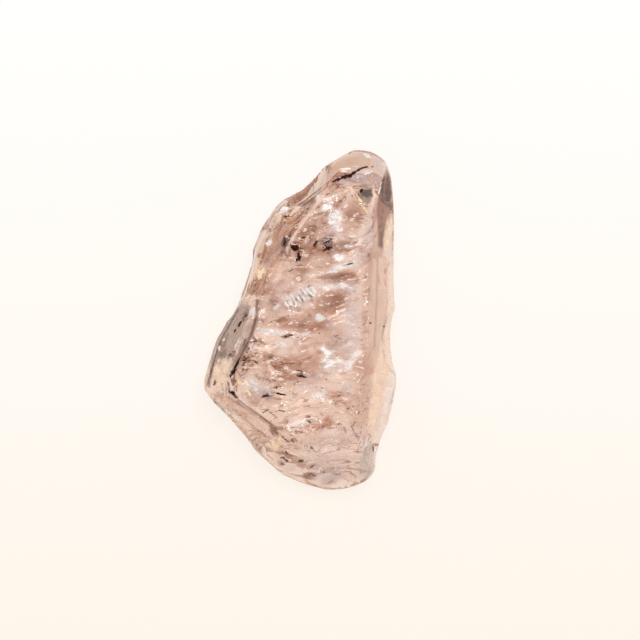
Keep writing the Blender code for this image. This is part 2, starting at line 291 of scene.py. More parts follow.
def noise(points, size, seed):
    """Smooth noise from -1 to 1: random values at the corners of cubes of that size, eased between. A value
    is a hash of its corner and the seed, multiplied by primes, joined by exclusive or and mixed."""
    cell = np.floor(points / size).astype(np.int64)
    part = points / size - cell
    part = part * part * (3 - 2 * part)
    total = np.zeros(len(points))
    for corner in np.ndindex(2, 2, 2):
        x, y, z = ((cell + corner) * CORNER_PRIMES).T
        mixed = x ^ y ^ z ^ (seed * SEED_PRIME)
        mixed = (mixed ^ (mixed >> 13)) * MIXING_PRIME & POSITIVE_BITS
        value = 2 * ((mixed ^ (mixed >> 16)) & VALUE_BITS) / VALUE_BITS - 1
        weight = np.prod(np.where(np.array(corner) == 1, part, 1 - part), axis=1)
        total += value * weight
    return total


def layered(points, layers):
    """Layers of noise added up. Each layer gives its strength, its size and its seed."""
    return sum(strength * noise(points, size, seed) for strength, size, seed in layers)


def ramp(values, none, full):
    """0 up to the first level, 1 from the second, and straight between. The second may be the lower one."""
    return np.clip((values - none) / (full - none), 0, 1)


def at_least(least, share):
    """A share from 0 to 1, squeezed into the span from the least to 1."""
    return least + (1 - least) * share


def surface_normals(points, squares):
    """The outward normal at each point: the mean of its squares' normals, each weighted by its size."""
    a, b, c, d = (points[squares[:, n]] for n in range(4))
    face = np.repeat(np.cross(c - a, d - b), 4, axis=0)
    total = [np.bincount(squares.ravel(), face[:, axis], len(points)) for axis in range(3)]
    return unit(np.stack(total, axis=1))


def mesh_piece(name, points, faces):
    """A smooth mesh object at the origin from points in millimetres and faces of equal corner count."""
    mesh = bpy.data.meshes.new(name)
    mesh.vertices.add(len(points))
    mesh.vertices.foreach_set("co", (points * MM).astype(np.float32).ravel())
    mesh.loops.add(faces.size)
    mesh.loops.foreach_set("vertex_index", faces.astype(np.int32).ravel())
    mesh.polygons.add(len(faces))
    mesh.polygons.foreach_set("loop_start", np.arange(0, faces.size, faces.shape[1], dtype=np.int32))
    mesh.update(calc_edges=True)
    mesh.validate()
    mesh.polygons.foreach_set("use_smooth", np.ones(len(mesh.polygons), bool))
    piece = bpy.data.objects.new(name, mesh)
    bpy.context.scene.collection.objects.link(piece)
    return piece


# Places that stayed smooth: middle, half length and half width, heading. They are the lobe at the narrow
# end, the grey parting on the left, the small lobe at the foot, and the flat prism face along the right
SMOOTH = (
    ((5.2, 14.3), (3.4, 1.5), 12),
    ((-5.9, -1.4), (3.9, 0.95), 70),
    ((6.2, -13.6), (1.9, 0.9), 78),
    ((7.6, 4.0), (11.5, 1.15), 90),
    ((7.5, -8.0), (4.5, 0.9), 86),
)
SMOOTH_SOFTNESS = 0.15
# The layers of noise that keep the rims of smooth places and of marks from running true
STIRRING = ((0.3, 0.8, 51), (0.15, 0.3, 52))


def plan_spot(points, stir, middle, reach, heading, soft):
    """1 inside an ellipse seen from above, easing to 0 over its soft rim, which the stirring shifts."""
    turn = np.radians(heading)
    east, north = points[:, 0] - middle[0], points[:, 1] - middle[1]
    u = (east * np.cos(turn) + north * np.sin(turn)) / reach[0]
    v = (north * np.cos(turn) - east * np.sin(turn)) / reach[1]
    return ramp(1 - np.sqrt(u * u + v * v) - stir, -soft, soft)


def rough_share(points, normals):
    """0 where the stone stayed smooth, 1 elsewhere, seen from above, on its upper side alone."""
    stir = layered(points, STIRRING)
    smooth = np.max([plan_spot(points, stir, *place, SMOOTH_SOFTNESS) for place in SMOOTH], axis=0)
    return 1 - smooth * ramp(normals[:, 2], 0, 0.2)


def slope_at(away, balls):
    """The points and the outward normals where unit headings leave the stone, from three neighbours a nudge
    aside."""
    nudge = 0.004
    here = stone_point(away, balls)
    east, north, up = (stone_point(unit(away + nudge * side), balls) - here for side in np.eye(3))
    normal = np.cross(east, north) + np.cross(north, up) + np.cross(up, east)
    return here, unit(normal * np.sign(np.sum(normal * away, axis=1))[:, None])


def waist_height(points):
    """The waist's height at each point's azimuth round the stone, eased between the waist's points."""
    waist = np.array([through for through, *_ in WAIST.values()]) - CENTRE
    round_waist = np.degrees(np.arctan2(waist[:, 1], waist[:, 0]))
    here = np.degrees(np.arctan2(points[:, 1] - CENTRE[1], points[:, 0] - CENTRE[0]))
    return CENTRE[2] + np.interp(here, round_waist, waist[:, 2], period=360)


# Where the front is looked for: from the waist up to a height clear of the stone, a span halved this often
CLEAR_ABOVE = 12.0
HALVINGS = 14


def front_point(plan, balls):
    """The point of the upper side over each plan point, by halving the span that it lies in."""
    low = waist_height(plan)
    high = np.full(len(plan), CLEAR_ABOVE)
    for _ in range(HALVINGS):
        middle = (low + high) / 2
        away = np.column_stack([plan, middle]) - CENTRE
        far = np.linalg.norm(away, axis=1)
        inside = stone_reach(away / far[:, None], balls) > far
        low, high = np.where(inside, middle, low), np.where(inside, high, middle)
    return np.column_stack([plan, low])


def sprinkled(random, count, across, along):
    """That many plan points, spread evenly over a span across the stone and one along it."""
    return np.column_stack([random.uniform(*across, count), random.uniform(*along, count)])


# Small chips, close together over the front and fewer and larger round the sides, clear of the waist and of
# the stone's bed. The strike is how many degrees the breaks rise to the right as they cross the stone
STRIKE = 14
CHIP_SEED = 7
FRONT_CHIPS = 1500
FRONT_SPAN = ((-8.8, 8.8), (-15.8, 13.0))
SIDE_CHIPS = 700
SIDE_SPREAD = np.array([0.7, 1.1, 0.5])
WAIST_CLEARANCE = 1.4
BED_CLEARANCE = 0.8
# A chip's size runs from the least up by the growth, on a power that leaves most of them small. Its depth
# and width are spans of shares of its size, and its heading and lean are means with their scatter
LEAST_CHIP = 0.25
FRONT_GROWTH = 1.1
SIDE_GROWTH = 1.8
GROWTH_POWER = 1.8
CHIP_DEPTHS = (0.08, 0.2)
CHIP_WIDTHS = (0.3, 0.75)
CHIP_HEADINGS = (STRIKE, 26)
CHIP_LEANS = (-4, 13)
random = np.random.default_rng(CHIP_SEED)
front = front_point(sprinkled(random, FRONT_CHIPS, *FRONT_SPAN), flake_balls) - CENTRE
sides = random.normal(0, 1, (SIDE_CHIPS, 3)) * SIDE_SPREAD
here, lie = slope_at(unit(np.concatenate([front, sides])), flake_balls)
off_waist = np.abs(here[:, 2] - waist_height(here)) > WAIST_CLEARANCE
chipped = off_waist & (here[:, 2] > BED_CLEARANCE) & (rough_share(here, lie) > 0.5)
chips = []
for middle, normal in zip(here[chipped], lie[chipped]):
    growth = FRONT_GROWTH if normal[2] > 0.5 else SIDE_GROWTH
    size = LEAST_CHIP + random.uniform(0, 1) ** GROWTH_POWER * growth
    depth = size * random.uniform(*CHIP_DEPTHS)
    reach = (size, size * random.uniform(*CHIP_WIDTHS))
    heading, lean = random.normal(*CHIP_HEADINGS), random.normal(*CHIP_LEANS)
    chips.append(lens(middle, normal, reach, depth, heading, lean))
balls = balls_of(flakes + chips)


def stepped(level, drop):
    """Waves from -0.5 to 0.5, one for each whole level: steeply down over its first share, the drop, and
    slowly up again over the rest."""
    part = level - np.floor(level)
    return np.where(part > drop, (part - drop) / (1 - drop), 1 - part / drop) - 0.5


# The layers of noise that make the lines of the ledges and of the contours wander, by strength and size
LEDGE_WANDER = ((1.0, 4.0), (0.28, 1.3))
CONTOUR_WANDER = ((0.9, 3.0, 41), (0.25, 0.9, 42))
CONTOUR_STEP = 0.62


def ledges(points, period, slant, seed):
    """Stepped waves that run across the stone, on lines that wander with noise: each rises sharply towards
    the foot of the stone and runs down slowly after it."""
    along = (points[:, 1] - slant * points[:, 0]) / period
    wander = [(strength, size, seed + n) for n, (strength, size) in enumerate(LEDGE_WANDER)]
    return stepped(along + layered(points, wander), 0.1)


def contours(points):
    """Stepped waves that follow the height, so that seen from above they run along the rim."""
    return stepped(points[:, 2] / CONTOUR_STEP + layered(points, CONTOUR_WANDER), 0.15)


def front_share(points, normals):
    """1 on the broken front, falling to 0 down its sides and over the smooth lobe at the narrow end, and to
    a fifth at the foot."""
    ends = ramp(points[:, 1], 12.3, 11.1) * np.maximum(ramp(points[:, 1], -14.5, -10.5), 0.2)
    return ramp(normals[:, 2], 0.5, 0.8) * ends


# The hackle's layers of noise: height, size and seed. The ledges: height, period, slant and seed
HACKLE = ((0.05, 1.1, 1), (0.03, 0.5, 2), (0.012, 0.22, 3))
LONG_LEDGES = (0.14, 1.7, 0.25, 21)
SHORT_LEDGES = (0.07, 0.7, 0.3, 31)
CONTOUR_HEIGHT = 0.03


def relief(points, normals):
    """The height over the smooth form, full on the broken front: hackle, long and short ledges in patches
    of their own, and contours down the sides."""
    broken = front_share(points, normals)
    long_patch = np.clip(0.5 + 1.6 * noise(points, 2.6, 11), 0, 1)
    steps = LONG_LEDGES[0] * long_patch * ledges(points, *LONG_LEDGES[1:])
    steps += SHORT_LEDGES[0] * (1 - long_patch) * ledges(points, *SHORT_LEDGES[1:])
    side = ramp(normals[:, 2], 0.1, 0.3) * ramp(normals[:, 2], 0.8, 0.6) * ramp(points[:, 1], 12.0, 10.0)
    height = layered(points, HACKLE) * at_least(0.2, broken) + steps * at_least(0.1, broken)
    height += CONTOUR_HEIGHT * side * contours(points)
    return height * at_least(0.05, rough_share(points, normals))


# The block that the skin is drawn in from: its size, its middle, and how many squares it has each way
BLOCK = np.array([18.6, 32.6, 11.2])
BLOCK_MIDDLE = np.array([0.0, 0.0, 5.4])
BLOCK_CELLS = np.array([118, 212, 70])
grid, squares = block_grid(BLOCK_CELLS)
points = stone_point(unit(grid * BLOCK / 2 + BLOCK_MIDDLE - CENTRE), balls)
normals = surface_normals(points, squares)
points += normals * relief(points, normals)[:, None]
points[:, 2] = np.maximum(points[:, 2], 0.0)
normals = surface_normals(points, squares)
stone = mesh_piece("morganite_skin", points, squares)

# The tints that stain and deeper cracks give to light on its way in and out. A mark's strength is the power
# that its tint is raised to
TEA = (0.44, 0.25, 0.17)
SAND = (0.76, 0.58, 0.46)
TAUPE = (0.30, 0.25, 0.22)
HONEY = (1.0, 0.84, 0.62)
SMOKE = (0.32, 0.24, 0.20)
UMBER = (0.10, 0.055, 0.035)
BROWN = (0.34, 0.21, 0.15)
DARK = (0.07, 0.02, 0.01)
BLACK = (0.02, 0.012, 0.01)
GREY = (0.42, 0.40, 0.40)
SLATE = (0.06, 0.052, 0.05)
GREEN = (0.60, 0.64, 0.57)
# Where the crystal is stained. Spots: middle, half length and half width, heading, how strong the even tint
# is, how much of it is broken into flecks, and its colour
STAIN_SPOTS = (
    ((4.7, 14.4), (3.56, 1.87), 18, 1.4, 0, SAND),
    ((3.3, 11.2), (2.81, 1.12), 20, 0.5, 0, SAND),
    ((4.4, 3.7), (1.68, 0.42), 6, 0.9, 0, TEA),
    ((2.9, 1.7), (1.59, 0.94), 12, 1.2, 0, TEA),
    ((-0.8, 6.9), (1.68, 1.03), 45, 1.0, 0.3, TEA),
    ((2.2, 6.9), (2.06, 0.94), -8, 0.9, 0.3, TEA),
    ((5.2, 9.7), (1.4, 0.94), 60, 1.1, 0, TEA),
    ((0.6, -4.4), (3.18, 1.22), 12, 0.85, 0, TEA),
    ((1.2, -0.2), (2.25, 0.84), 8, 0.7, 0, TEA),
    ((-3.5, 2.8), (2.62, 0.75), 68, 0.5, 0, TEA),
    ((1.7, 8.7), (1.68, 0.84), 20, 0.7, 0, TEA),
    ((2.9, 4.1), (2.25, 0.47), 8, 0.8, 0, TEA),
    ((-3.5, 7.8), (2.25, 0.75), 64, 0.7, 0, TEA),
    ((-5.9, -4.9), (1.12, 0.94), 60, 0.4, 0, TEA),
    ((-5.4, -8.5), (2.81, 0.56), -34, 0.25, 0, TEA),
    ((-3.5, -4.4), (2.06, 1.12), -10, 0.3, 0, TEA),
    ((0.9, -14.7), (0.75, 0.37), 0, 0.9, 0, TEA),
    ((-3.6, 4.4), (0.75, 0.65), 30, 0.6, 0, HONEY),
    ((-1.9, -11.5), (1.12, 0.47), 75, 0.8, 0, HONEY),
    ((2.9, -15.0), (1.12, 0.47), 20, 0.55, 0, SMOKE),
    ((-4.3, -11.7), (0.84, 0.47), -45, 0.9, 0, SMOKE),
    ((6.2, -13.5), (1.87, 0.84), 75, 0.7, 0, GREEN),
    ((6.0, 11.6), (0.65, 0.65), 0, 0.8, 0, UMBER),
    ((5.8, -7.5), (3.18, 0.94), 86, 0.35, 0, TEA),
    ((3.4, -2.1), (1.22, 1.03), 0, 0.45, 0, TEA),
    ((0.0, 4.8), (1.68, 0.94), 10, 0.45, 0, TEA),
    ((2.4, -1.2), (2.62, 1.31), 0, 0.25, 0, TEA),
    ((5.3, -4.3), (1.12, 1.4), 0, 0.3, 0, TEA),
    ((6.2, 5.8), (0.65, 1.87), 0, 0.35, 0, TEA),
    ((-2.9, 1.1), (0.75, 1.12), 70, 0.25, 0, TEA),
    ((-0.7, -0.2), (2.25, 0.75), 5, 0.4, 0, TEA),
    ((2.4, 6.3), (2.43, 0.56), 5, 0.4, 0, TEA),
    ((4.3, 1.5), (0.75, 0.65), 0, 0.35, 0, TEA),
    ((-0.9, -7.4), (2.81, 0.94), 10, 0.0, 0.36, BROWN),
    ((2.1, -9.8), (2.62, 1.12), 12, 0.03, 0.3, BROWN),
    ((-1.1, -11.1), (2.25, 0.94), -10, 0.05, 0.4, BROWN),
    ((2.9, -7.3), (1.87, 0.75), 10, 0.05, 0.34, BROWN),
    ((-2.8, -5.3), (2.25, 0.75), -10, 0.05, 0.4, BROWN),
    ((7.6, 7.3), (0.75, 0.23), 85, 0.6, 0.3, BROWN),
    ((5.8, 11.6), (0.47, 0.47), 0, 0.0, 0.3, GREY),
    ((-1.2, 7.3), (0.56, 0.37), 50, 0.6, 0.75, DARK),
    ((-0.2, 6.6), (0.65, 0.47), -50, 0.4, 0.6, DARK),
    ((-0.1, 5.7), (0.33, 0.28), 0, 0.5, 0.5, DARK),
    ((2.6, 7.2), (0.56, 0.47), -10, 0.4, 0.8, DARK),
    ((1.5, 7.0), (0.47, 0.21), 62, 0.4, 0.6, DARK),
    ((0.6, 7.4), (0.75, 0.28), 10, 0.2, 0.5, BROWN),
    ((0.9, 6.6), (1.5, 0.37), -15, 0.2, 0.35, BROWN),
    ((1.2, 8.1), (0.75, 0.47), 20, 0.25, 0.3, BROWN),
    ((4.4, 7.2), (0.94, 0.47), 5, 0.3, 0.3, BROWN),
    ((4.6, 5.2), (0.47, 0.23), 20, 0.4, 0.75, DARK),
    ((3.4, 4.1), (1.68, 0.28), 6, 0.5, 0.4, BROWN),
    ((0.3, 4.6), (0.75, 0.37), -30, 0.35, 0.45, BROWN),
    ((2.9, 1.7), (1.4, 0.75), 14, 0.3, 0.3, BROWN),
    ((-2.4, 1.7), (0.47, 0.47), 0, 0.35, 0.5, BROWN),
    ((0.0, 0.1), (2.06, 0.47), 5, 0.1, 0.35, BROWN),
    ((-1.7, 0.0), (0.56, 0.28), 20, 0.3, 0.5, BROWN),
    ((0.3, -0.5), (0.75, 0.37), 10, 0.3, 0.4, BROWN),
    ((-3.8, -2.0), (0.75, 0.28), -22, 0.4, 0.6, BROWN),
    ((-1.2, -1.5), (0.47, 0.19), 5, 0.3, 0.8, BLACK),
    ((-3.5, -3.6), (2.06, 0.94), -10, 0.1, 0.4, BROWN),
    ((-0.0, -3.8), (1.5, 0.65), 5, 0.3, 0.3, BROWN),
    ((-4.9, -3.8), (0.56, 0.28), -30, 0.4, 0.6, DARK),
    ((-2.6, -3.5), (0.28, 0.28), 0, 0.4, 0.6, DARK),
    ((-1.8, -4.9), (1.87, 0.65), -5, 0.1, 0.4, BROWN),
    ((0.2, -4.9), (0.65, 0.28), -8, 0.2, 0.6, BROWN),
    ((-2.9, -6.9), (0.56, 0.28), 12, 0.4, 0.7, DARK),
    ((-5.1, 0.3), (0.65, 0.28), 60, 0.15, 0.75, DARK),
    ((-5.6, -0.6), (0.94, 0.28), 60, 0.15, 0.4, BROWN),
    ((-6.6, -4.9), (0.47, 0.28), 40, 0.4, 0.6, DARK),
    ((-7.1, -3.4), (0.94, 0.56), 20, 0.2, 0.5, BROWN),
    ((0.3, 11.8), (0.56, 0.19), 42, 0.3, 0.6, DARK),
    ((1.5, 10.5), (0.65, 0.37), 45, 0.4, 0.5, BROWN),
    ((-1.3, 9.6), (0.28, 0.19), 0, 0.3, 0.5, BROWN),
    ((-2.9, 5.9), (0.75, 0.47), 65, 0.15, 0.35, BROWN),
    ((-4.4, 3.1), (0.75, 0.37), 65, 0.3, 0.35, BROWN),
    ((-3.9, -10.2), (1.5, 0.47), -38, 0.05, 0.35, BROWN),
    ((-2.4, -10.5), (0.47, 0.23), -40, 0.5, 0.8, DARK),
    ((-4.4, -11.9), (0.65, 0.37), -45, 0.4, 0.5, GREY),
    ((-0.4, -8.2), (1.12, 0.47), 20, 0.1, 0.4, BROWN),
    ((0.8, -9.1), (0.47, 0.28), -40, 0.3, 0.6, BROWN),
    ((0.0, -11.6), (2.06, 0.65), -5, 0.15, 0.35, BROWN),
    ((-1.4, -12.4), (0.94, 0.28), -40, 0.1, 0.6, BROWN),
    ((0.8, -14.7), (0.56, 0.37), 20, 0.4, 0.65, BROWN),
    ((-1.8, -13.4), (0.37, 0.28), 0, 0.3, 0.6, DARK),
    ((2.9, -15.2), (0.56, 0.37), 0, 0.12, 0.3, BROWN),
    ((4.3, -14.1), (1.12, 0.75), 40, 0.1, 0.4, BROWN),
    ((5.9, -13.6), (0.65, 1.31), 5, 0.25, 0.1, GREEN),
    ((6.8, -12.1), (0.47, 0.11), 85, 0.3, 0.3, BROWN),
    ((5.8, -8.3), (2.62, 0.84), 86, 0.1, 0.25, BROWN),
    ((3.2, -9.1), (0.94, 0.56), 20, 0.05, 0.2, BROWN),
    ((8.6, -7.2), (0.75, 0.19), 75, 0.3, 0.6, GREY),
)
# Facets: corners, then the same three
STAIN_FACETS = (
    (((8.1, 14.4), (8.6, 13.2), (8.7, 10.7), (8.2, 8.6), (7.6, 6.5), (7.2, 6.9), (7.1, 10.7),
      (7.6, 12.6)), 0.75, 0, TEA),
    (((2.9, 15.1), (3.2, 14.9), (2.6, 13.2), (1.7, 11.6), (0.8, 10.2), (-0.3, 9.7), (0.3, 10.9),
      (1.3, 12.3)), 0.85, 0.1, TAUPE),
    (((0.0, 9.9), (0.9, 10.1), (-0.4, 7.8), (-1.7, 5.8), (-2.5, 4.8), (-3.6, 2.4), (-4.4, 1.6),
      (-4.5, 2.9), (-3.8, 5.4), (-3.1, 7.4), (-1.5, 9.1)), 1.1, 0.1, TEA),
    (((-5.8, 1.8), (-4.5, 1.7), (-5.1, -1.0), (-6.3, -3.6), (-8.0, -3.5), (-7.3, -1.9)), 0.95, 0, SMOKE),
    (((0.0, 10.1), (2.9, 14.9), (3.3, 14.7), (1.1, 9.9), (-1.7, 5.8), (-3.5, 2.4), (-4.3, 1.6),
      (-5.6, 1.8), (-4.6, 4.6), (-3.5, 8.2), (-1.8, 9.9)), 0.9, 0, HONEY),
    (((6.9, 11.4), (7.9, 11.4), (7.8, 6.5), (7.3, 5.4), (6.7, 5.8), (6.7, 9.8)), 0.5, 0, TEA),
    (((5.7, 5.9), (7.8, 6.5), (8.0, 2.8), (7.7, -2.4), (6.9, -4.9), (5.8, -5.3),
      (5.7, -1.0)), 0.27, 0, TEA),
    (((8.0, 10.7), (8.7, 10.7), (8.7, -2.4), (8.1, -7.5), (6.8, -10.3), (6.2, -10.2),
      (7.3, -2.4)), 0.3, 0, HONEY),
    (((8.1, 14.3), (8.5, 13.2), (8.6, 11.7), (8.4, 11.0), (7.9, 10.9), (7.6, 11.6),
      (7.7, 12.9)), 0.85, 0.4, DARK),
    (((7.3, 11.3), (8.5, 11.2), (8.6, 10.0), (8.1, 8.7), (7.7, 6.8), (7.3, 6.9), (7.3, 8.7),
      (7.1, 10.1)), 0.75, 0.3, BROWN),
    (((5.6, 12.0), (6.6, 12.2), (6.7, 11.5), (5.5, 11.4)), 0.72, 0.0, SLATE),
    (((5.5, 11.5), (6.7, 11.6), (6.4, 10.7), (5.8, 10.9)), 0.7, 0.2, GREY),
)
# Lines: points, half width, then the same three
STAIN_LINES = (
    (((-3.9, 1.8), (-4.0, 0.0), (-4.5, -1.4), (-5.5, -3.4), (-6.1, -4.7)), 0.2, 0.6, 0, UMBER),
    (((-8.3, -7.0), (-6.3, -7.4), (-4.1, -8.7), (-2.2, -10.0)), 0.18, 0.7, 0, TEA),
    (((-5.8, 1.0), (-7.3, -1.7), (-8.5, -6.0)), 0.16, 0.7, 0, TEA),
    (((2.9, 14.6), (1.8, 12.5), (-0.0, 9.6), (-1.5, 6.2), (-2.2, 4.6)), 0.14, 0.6, 0, TEA),
    (((-2.4, 8.6), (-3.1, 6.8), (-4.0, 4.4), (-4.9, 2.6), (-5.8, 1.1)), 0.09, 0.6, 0.3, BROWN),
    (((-8.1, -7.5), (-6.3, -9.5), (-4.4, -11.8), (-2.3, -13.9), (-0.3, -14.8)), 0.1, 0.6, 0.4, BROWN),
    (((-7.3, -7.3), (-5.2, -9.2), (-3.5, -10.6), (-1.8, -11.7)), 0.09, 0.5, 0.5, BROWN),
    (((7.2, 5.4), (7.1, 1.8), (6.9, -2.4)), 0.1, 0.4, 0.0, BROWN),
    (((7.9, 5.8), (8.1, 1.8), (7.8, -1.0)), 0.1, 0.35, 0.0, BROWN),
    (((1.7, 10.6), (0.9, 9.5), (-0.1, 8.2), (-1.1, 6.8), (-1.7, 5.4)), 0.09, 0.6, 0.5, BROWN),
    (((-4.1, 0.0), (-4.7, -1.6), (-5.7, -3.6), (-6.2, -4.9)), 0.14, 0.6, 0.0, DARK),
    (((-5.7, -3.8), (-6.3, -5.0)), 0.12, 0.6, 0.0, BLACK),
    (((-5.8, 1.0), (-7.3, -1.7), (-8.1, -4.0), (-8.6, -6.2)), 0.13, 0.6, 0.2, DARK),
    (((-8.4, -7.2), (-7.5, -8.0), (-6.3, -9.2)), 0.12, 0.45, 0.4, DARK),
    (((-6.7, -7.3), (-5.1, -8.1), (-3.7, -9.0), (-2.1, -10.0)), 0.17, 0.4, 0.3, BROWN),
    (((-6.3, -6.7), (-5.8, -7.2)), 0.1, 0.8, 0.8, BLACK),
    (((-5.6, -10.2), (-4.1, -11.8)), 0.12, 0.4, 0.5, GREY),
    (((3.0, 14.9), (2.5, 13.5), (1.5, 11.8), (0.6, 10.1), (-0.5, 7.6), (-1.6, 5.0)), 0.1, 0.2, 0.4, BROWN),
    (((8.7, 13.1), (8.7, 9.8), (8.6, 6.0)), 0.07, 0.5, 0.5, BROWN),
    (((7.0, 10.7), (6.7, 7.4), (6.5, 1.8)), 0.1, 0.3, 0.0, GREY),
)
SPOT_SOFTNESS = 0.4
FACET_SOFTNESS = 0.09
# The crystal's tint where it is clear. In the band this far above and below the waist, where light comes
# straight through thin crystal, it gives way by this share to a paler one
CLEAR_TINT = np.array([0.91, 0.77, 0.71])
RIM = 0.9
RIM_SHARE = 0.85
RIM_TINT = np.array([1.0, 0.92, 0.83])
# Streaks of noise along the strike: strength, how far they are drawn out, size and seed. The drift says
# where flecks are thick, and the cloud takes up to these shares of red, green and blue light
STREAK_WANDER = (0.35, 1.5, 71)
DRIFT = ((1.0, 1.6, 1.6, 65), (0.5, 1.6, 0.7, 66))
CLOUD = ((1.2, 1.8, 1.1, 61), (0.825, 2.6, 0.45, 62), (0.25, 2.0, 0.2, 64))
CLOUD_TAKES = np.array([0.50, 0.72, 0.80])
# The cover of flecks that is everywhere, and what the thickest drift adds to it
LEAST_FLECKS = 0.02
DRIFT_FLECKS = 0.26


def path_distance(points, path):
    """How far each point lies, seen from above, from the nearest stretch of a path."""
    plan = points[:, :2]
    nearest = np.full(len(points), FAR)
    for start, end in zip(np.array(path[:-1]), np.array(path[1:])):
        run = end - start
        share = np.clip((plan - start) @ run / (run @ run), 0, 1)
        nearest = np.minimum(nearest, np.linalg.norm(plan - start - share[:, None] * run, axis=1))
    return nearest


def facet_share(points, corners):
    """1 inside a polygon seen from above and 0 outside, easing over the rim. A point is inside if a line
    from it to the left crosses the rim an odd number of times."""
    ring = corners + corners[:1]
    x, y = points[:, 0], points[:, 1]
    inside = np.zeros(len(points), bool)
    for (x0, y0), (x1, y1) in zip(ring[:-1], ring[1:]):
        spans = (y0 > y) != (y1 > y)
        inside ^= spans & (x < x0 + (y - y0) * (x1 - x0) / ((y1 - y0) or 1))
    return ramp(np.where(inside, 1, -1) * path_distance(points, ring), -FACET_SOFTNESS, FACET_SOFTNESS)


def brush(points, spots, facets, lines):
    """For each mark in turn: how much of it lies on each point, then its even and its flecked strength and
    its colour. A line is whole to half its width on either side, and gone at one and a half of it."""
    stir = layered(points, STIRRING)
    for middle, reach, heading, *paint in spots:
        yield plan_spot(points, stir, middle, reach, heading, SPOT_SOFTNESS), *paint
    for corners, *paint in facets:
        yield facet_share(points, corners), *paint
    for path, width, *paint in lines:
        yield ramp(path_distance(points, path) / width - 0.8 * stir, 1.5, 0.5), *paint


def streaks(points, layers):
    """Layers of noise drawn out along the strike: the points' way along it is shortened by the draw."""
    turn = np.radians(STRIKE)
    along = points[:, 0] * np.cos(turn) + points[:, 1] * np.sin(turn)
    across = points[:, 1] * np.cos(turn) - points[:, 0] * np.sin(turn)
    across += layered(points, [STREAK_WANDER])
    total = 0
    for strength, draw, size, seed in layers:
        total += strength * noise(np.column_stack([along / draw, across, points[:, 2]]), size, seed)
    return total


def paint_points(piece, name, values):
    """The values as a colour or a plain number on each point of a piece, for its material to read."""
    if values.ndim == 2:
        paint = piece.data.color_attributes.new(name, "FLOAT_COLOR", "POINT")
        values = np.concatenate([values, np.ones((len(values), 1))], axis=1)
        paint.data.foreach_set("color", values.astype(np.float32).ravel())
    else:
        paint = piece.data.attributes.new(name, "FLOAT", "POINT")
        paint.data.foreach_set("value", values.astype(np.float32))


upper = ramp(normals[:, 2], -0.05, 0.15)
broken = front_share(points, normals)
drift = np.clip(0.5 + streaks(points, DRIFT), 0, 1)
cloud = np.clip(0.05 + streaks(points, CLOUD), 0, 1)
tint = 1 - (cloud * at_least(0.3, broken) * upper)[:, None] * CLOUD_TAKES
fleck = (LEAST_FLECKS + DRIFT_FLECKS * drift * broken) * rough_share(points, normals)
fleck_tint = np.tile(BROWN, (len(points), 1))
for share, even, flecked, colour in brush(points, STAIN_SPOTS, STAIN_FACETS, STAIN_LINES):
    tint *= np.array(colour) ** (share * even)[:, None]
    fleck = np.maximum(fleck, share * flecked)
    fleck_tint += (share * (flecked > 0))[:, None] * (np.array(colour) - fleck_tint)
tint = CLEAR_TINT * (1 + (tint - 1) * upper[:, None])
rim = RIM_SHARE * ramp(np.abs(points[:, 2] - waist_height(points)), RIM, 0)
tint += rim[:, None] * (RIM_TINT - tint)
paint_points(stone, "tint", tint)
paint_points(stone, "fleck", fleck * upper)
paint_points(stone, "fleck tint", fleck_tint)
paint_points(stone, "hackle", broken)


def set_inputs(node, inputs):
    """Gives each named input of a shader node its plain value, or links it to the output that feeds it."""
    for name, value in inputs.items():
        if isinstance(value, bpy.types.NodeSocket):
            node.id_data.links.new(value, node.inputs[name])
        else:
            node.inputs[name].default_value = value


def feed(tree, kind, output, inputs=None, **settings):
    """The named output of a new shader node of that kind, with these inputs and settings."""
    node = tree.nodes.new("ShaderNode" + kind)
    for name, value in settings.items():
        setattr(node, name, value)
    set_inputs(node, inputs or {})
    return node.outputs[output]


def painted(tree, name, output="Fac"):
    """What paint_points put on the piece under that name."""
    return feed(tree, "Attribute", output, attribute_name=name)


def product(tree, *factors, **settings):
    """Two numbers, or outputs that carry numbers, multiplied."""
    return feed(tree, "Math", "Value", dict(enumerate(factors)), operation="MULTIPLY", **settings)


def new_material(name):
    """A material, its node tree and the Principled shader in it."""
    material = bpy.data.materials.new(name)
    material.use_nodes = True
    return material, material.node_tree, material.node_tree.nodes["Principled BSDF"]


# The strokes of the front rise to the right, so Object coordinates are turned back by this much. Flecks are
# short strokes, 0.9 mm by 0.3 mm, and the ridges of the hackle are longer. Scales are in waves per metre
STROKE_TURN = -16
FLECK_SCALE = (1150.0, 3100.0, 2300.0)
RIDGE_SCALE = (800.0, 2000.0, 1500.0)
RIDGE_HEIGHT = 0.000014


def along_strokes(tree, scale):
    """Object coordinates turned so that X runs along the strokes of the front, then scaled."""
    turn = (0.0, 0.0, np.radians(STROKE_TURN))
    place = feed(tree, "TexCoord", "Object")
    return feed(tree, "Mapping", "Vector", {"Vector": place, "Rotation": turn, "Scale": scale})


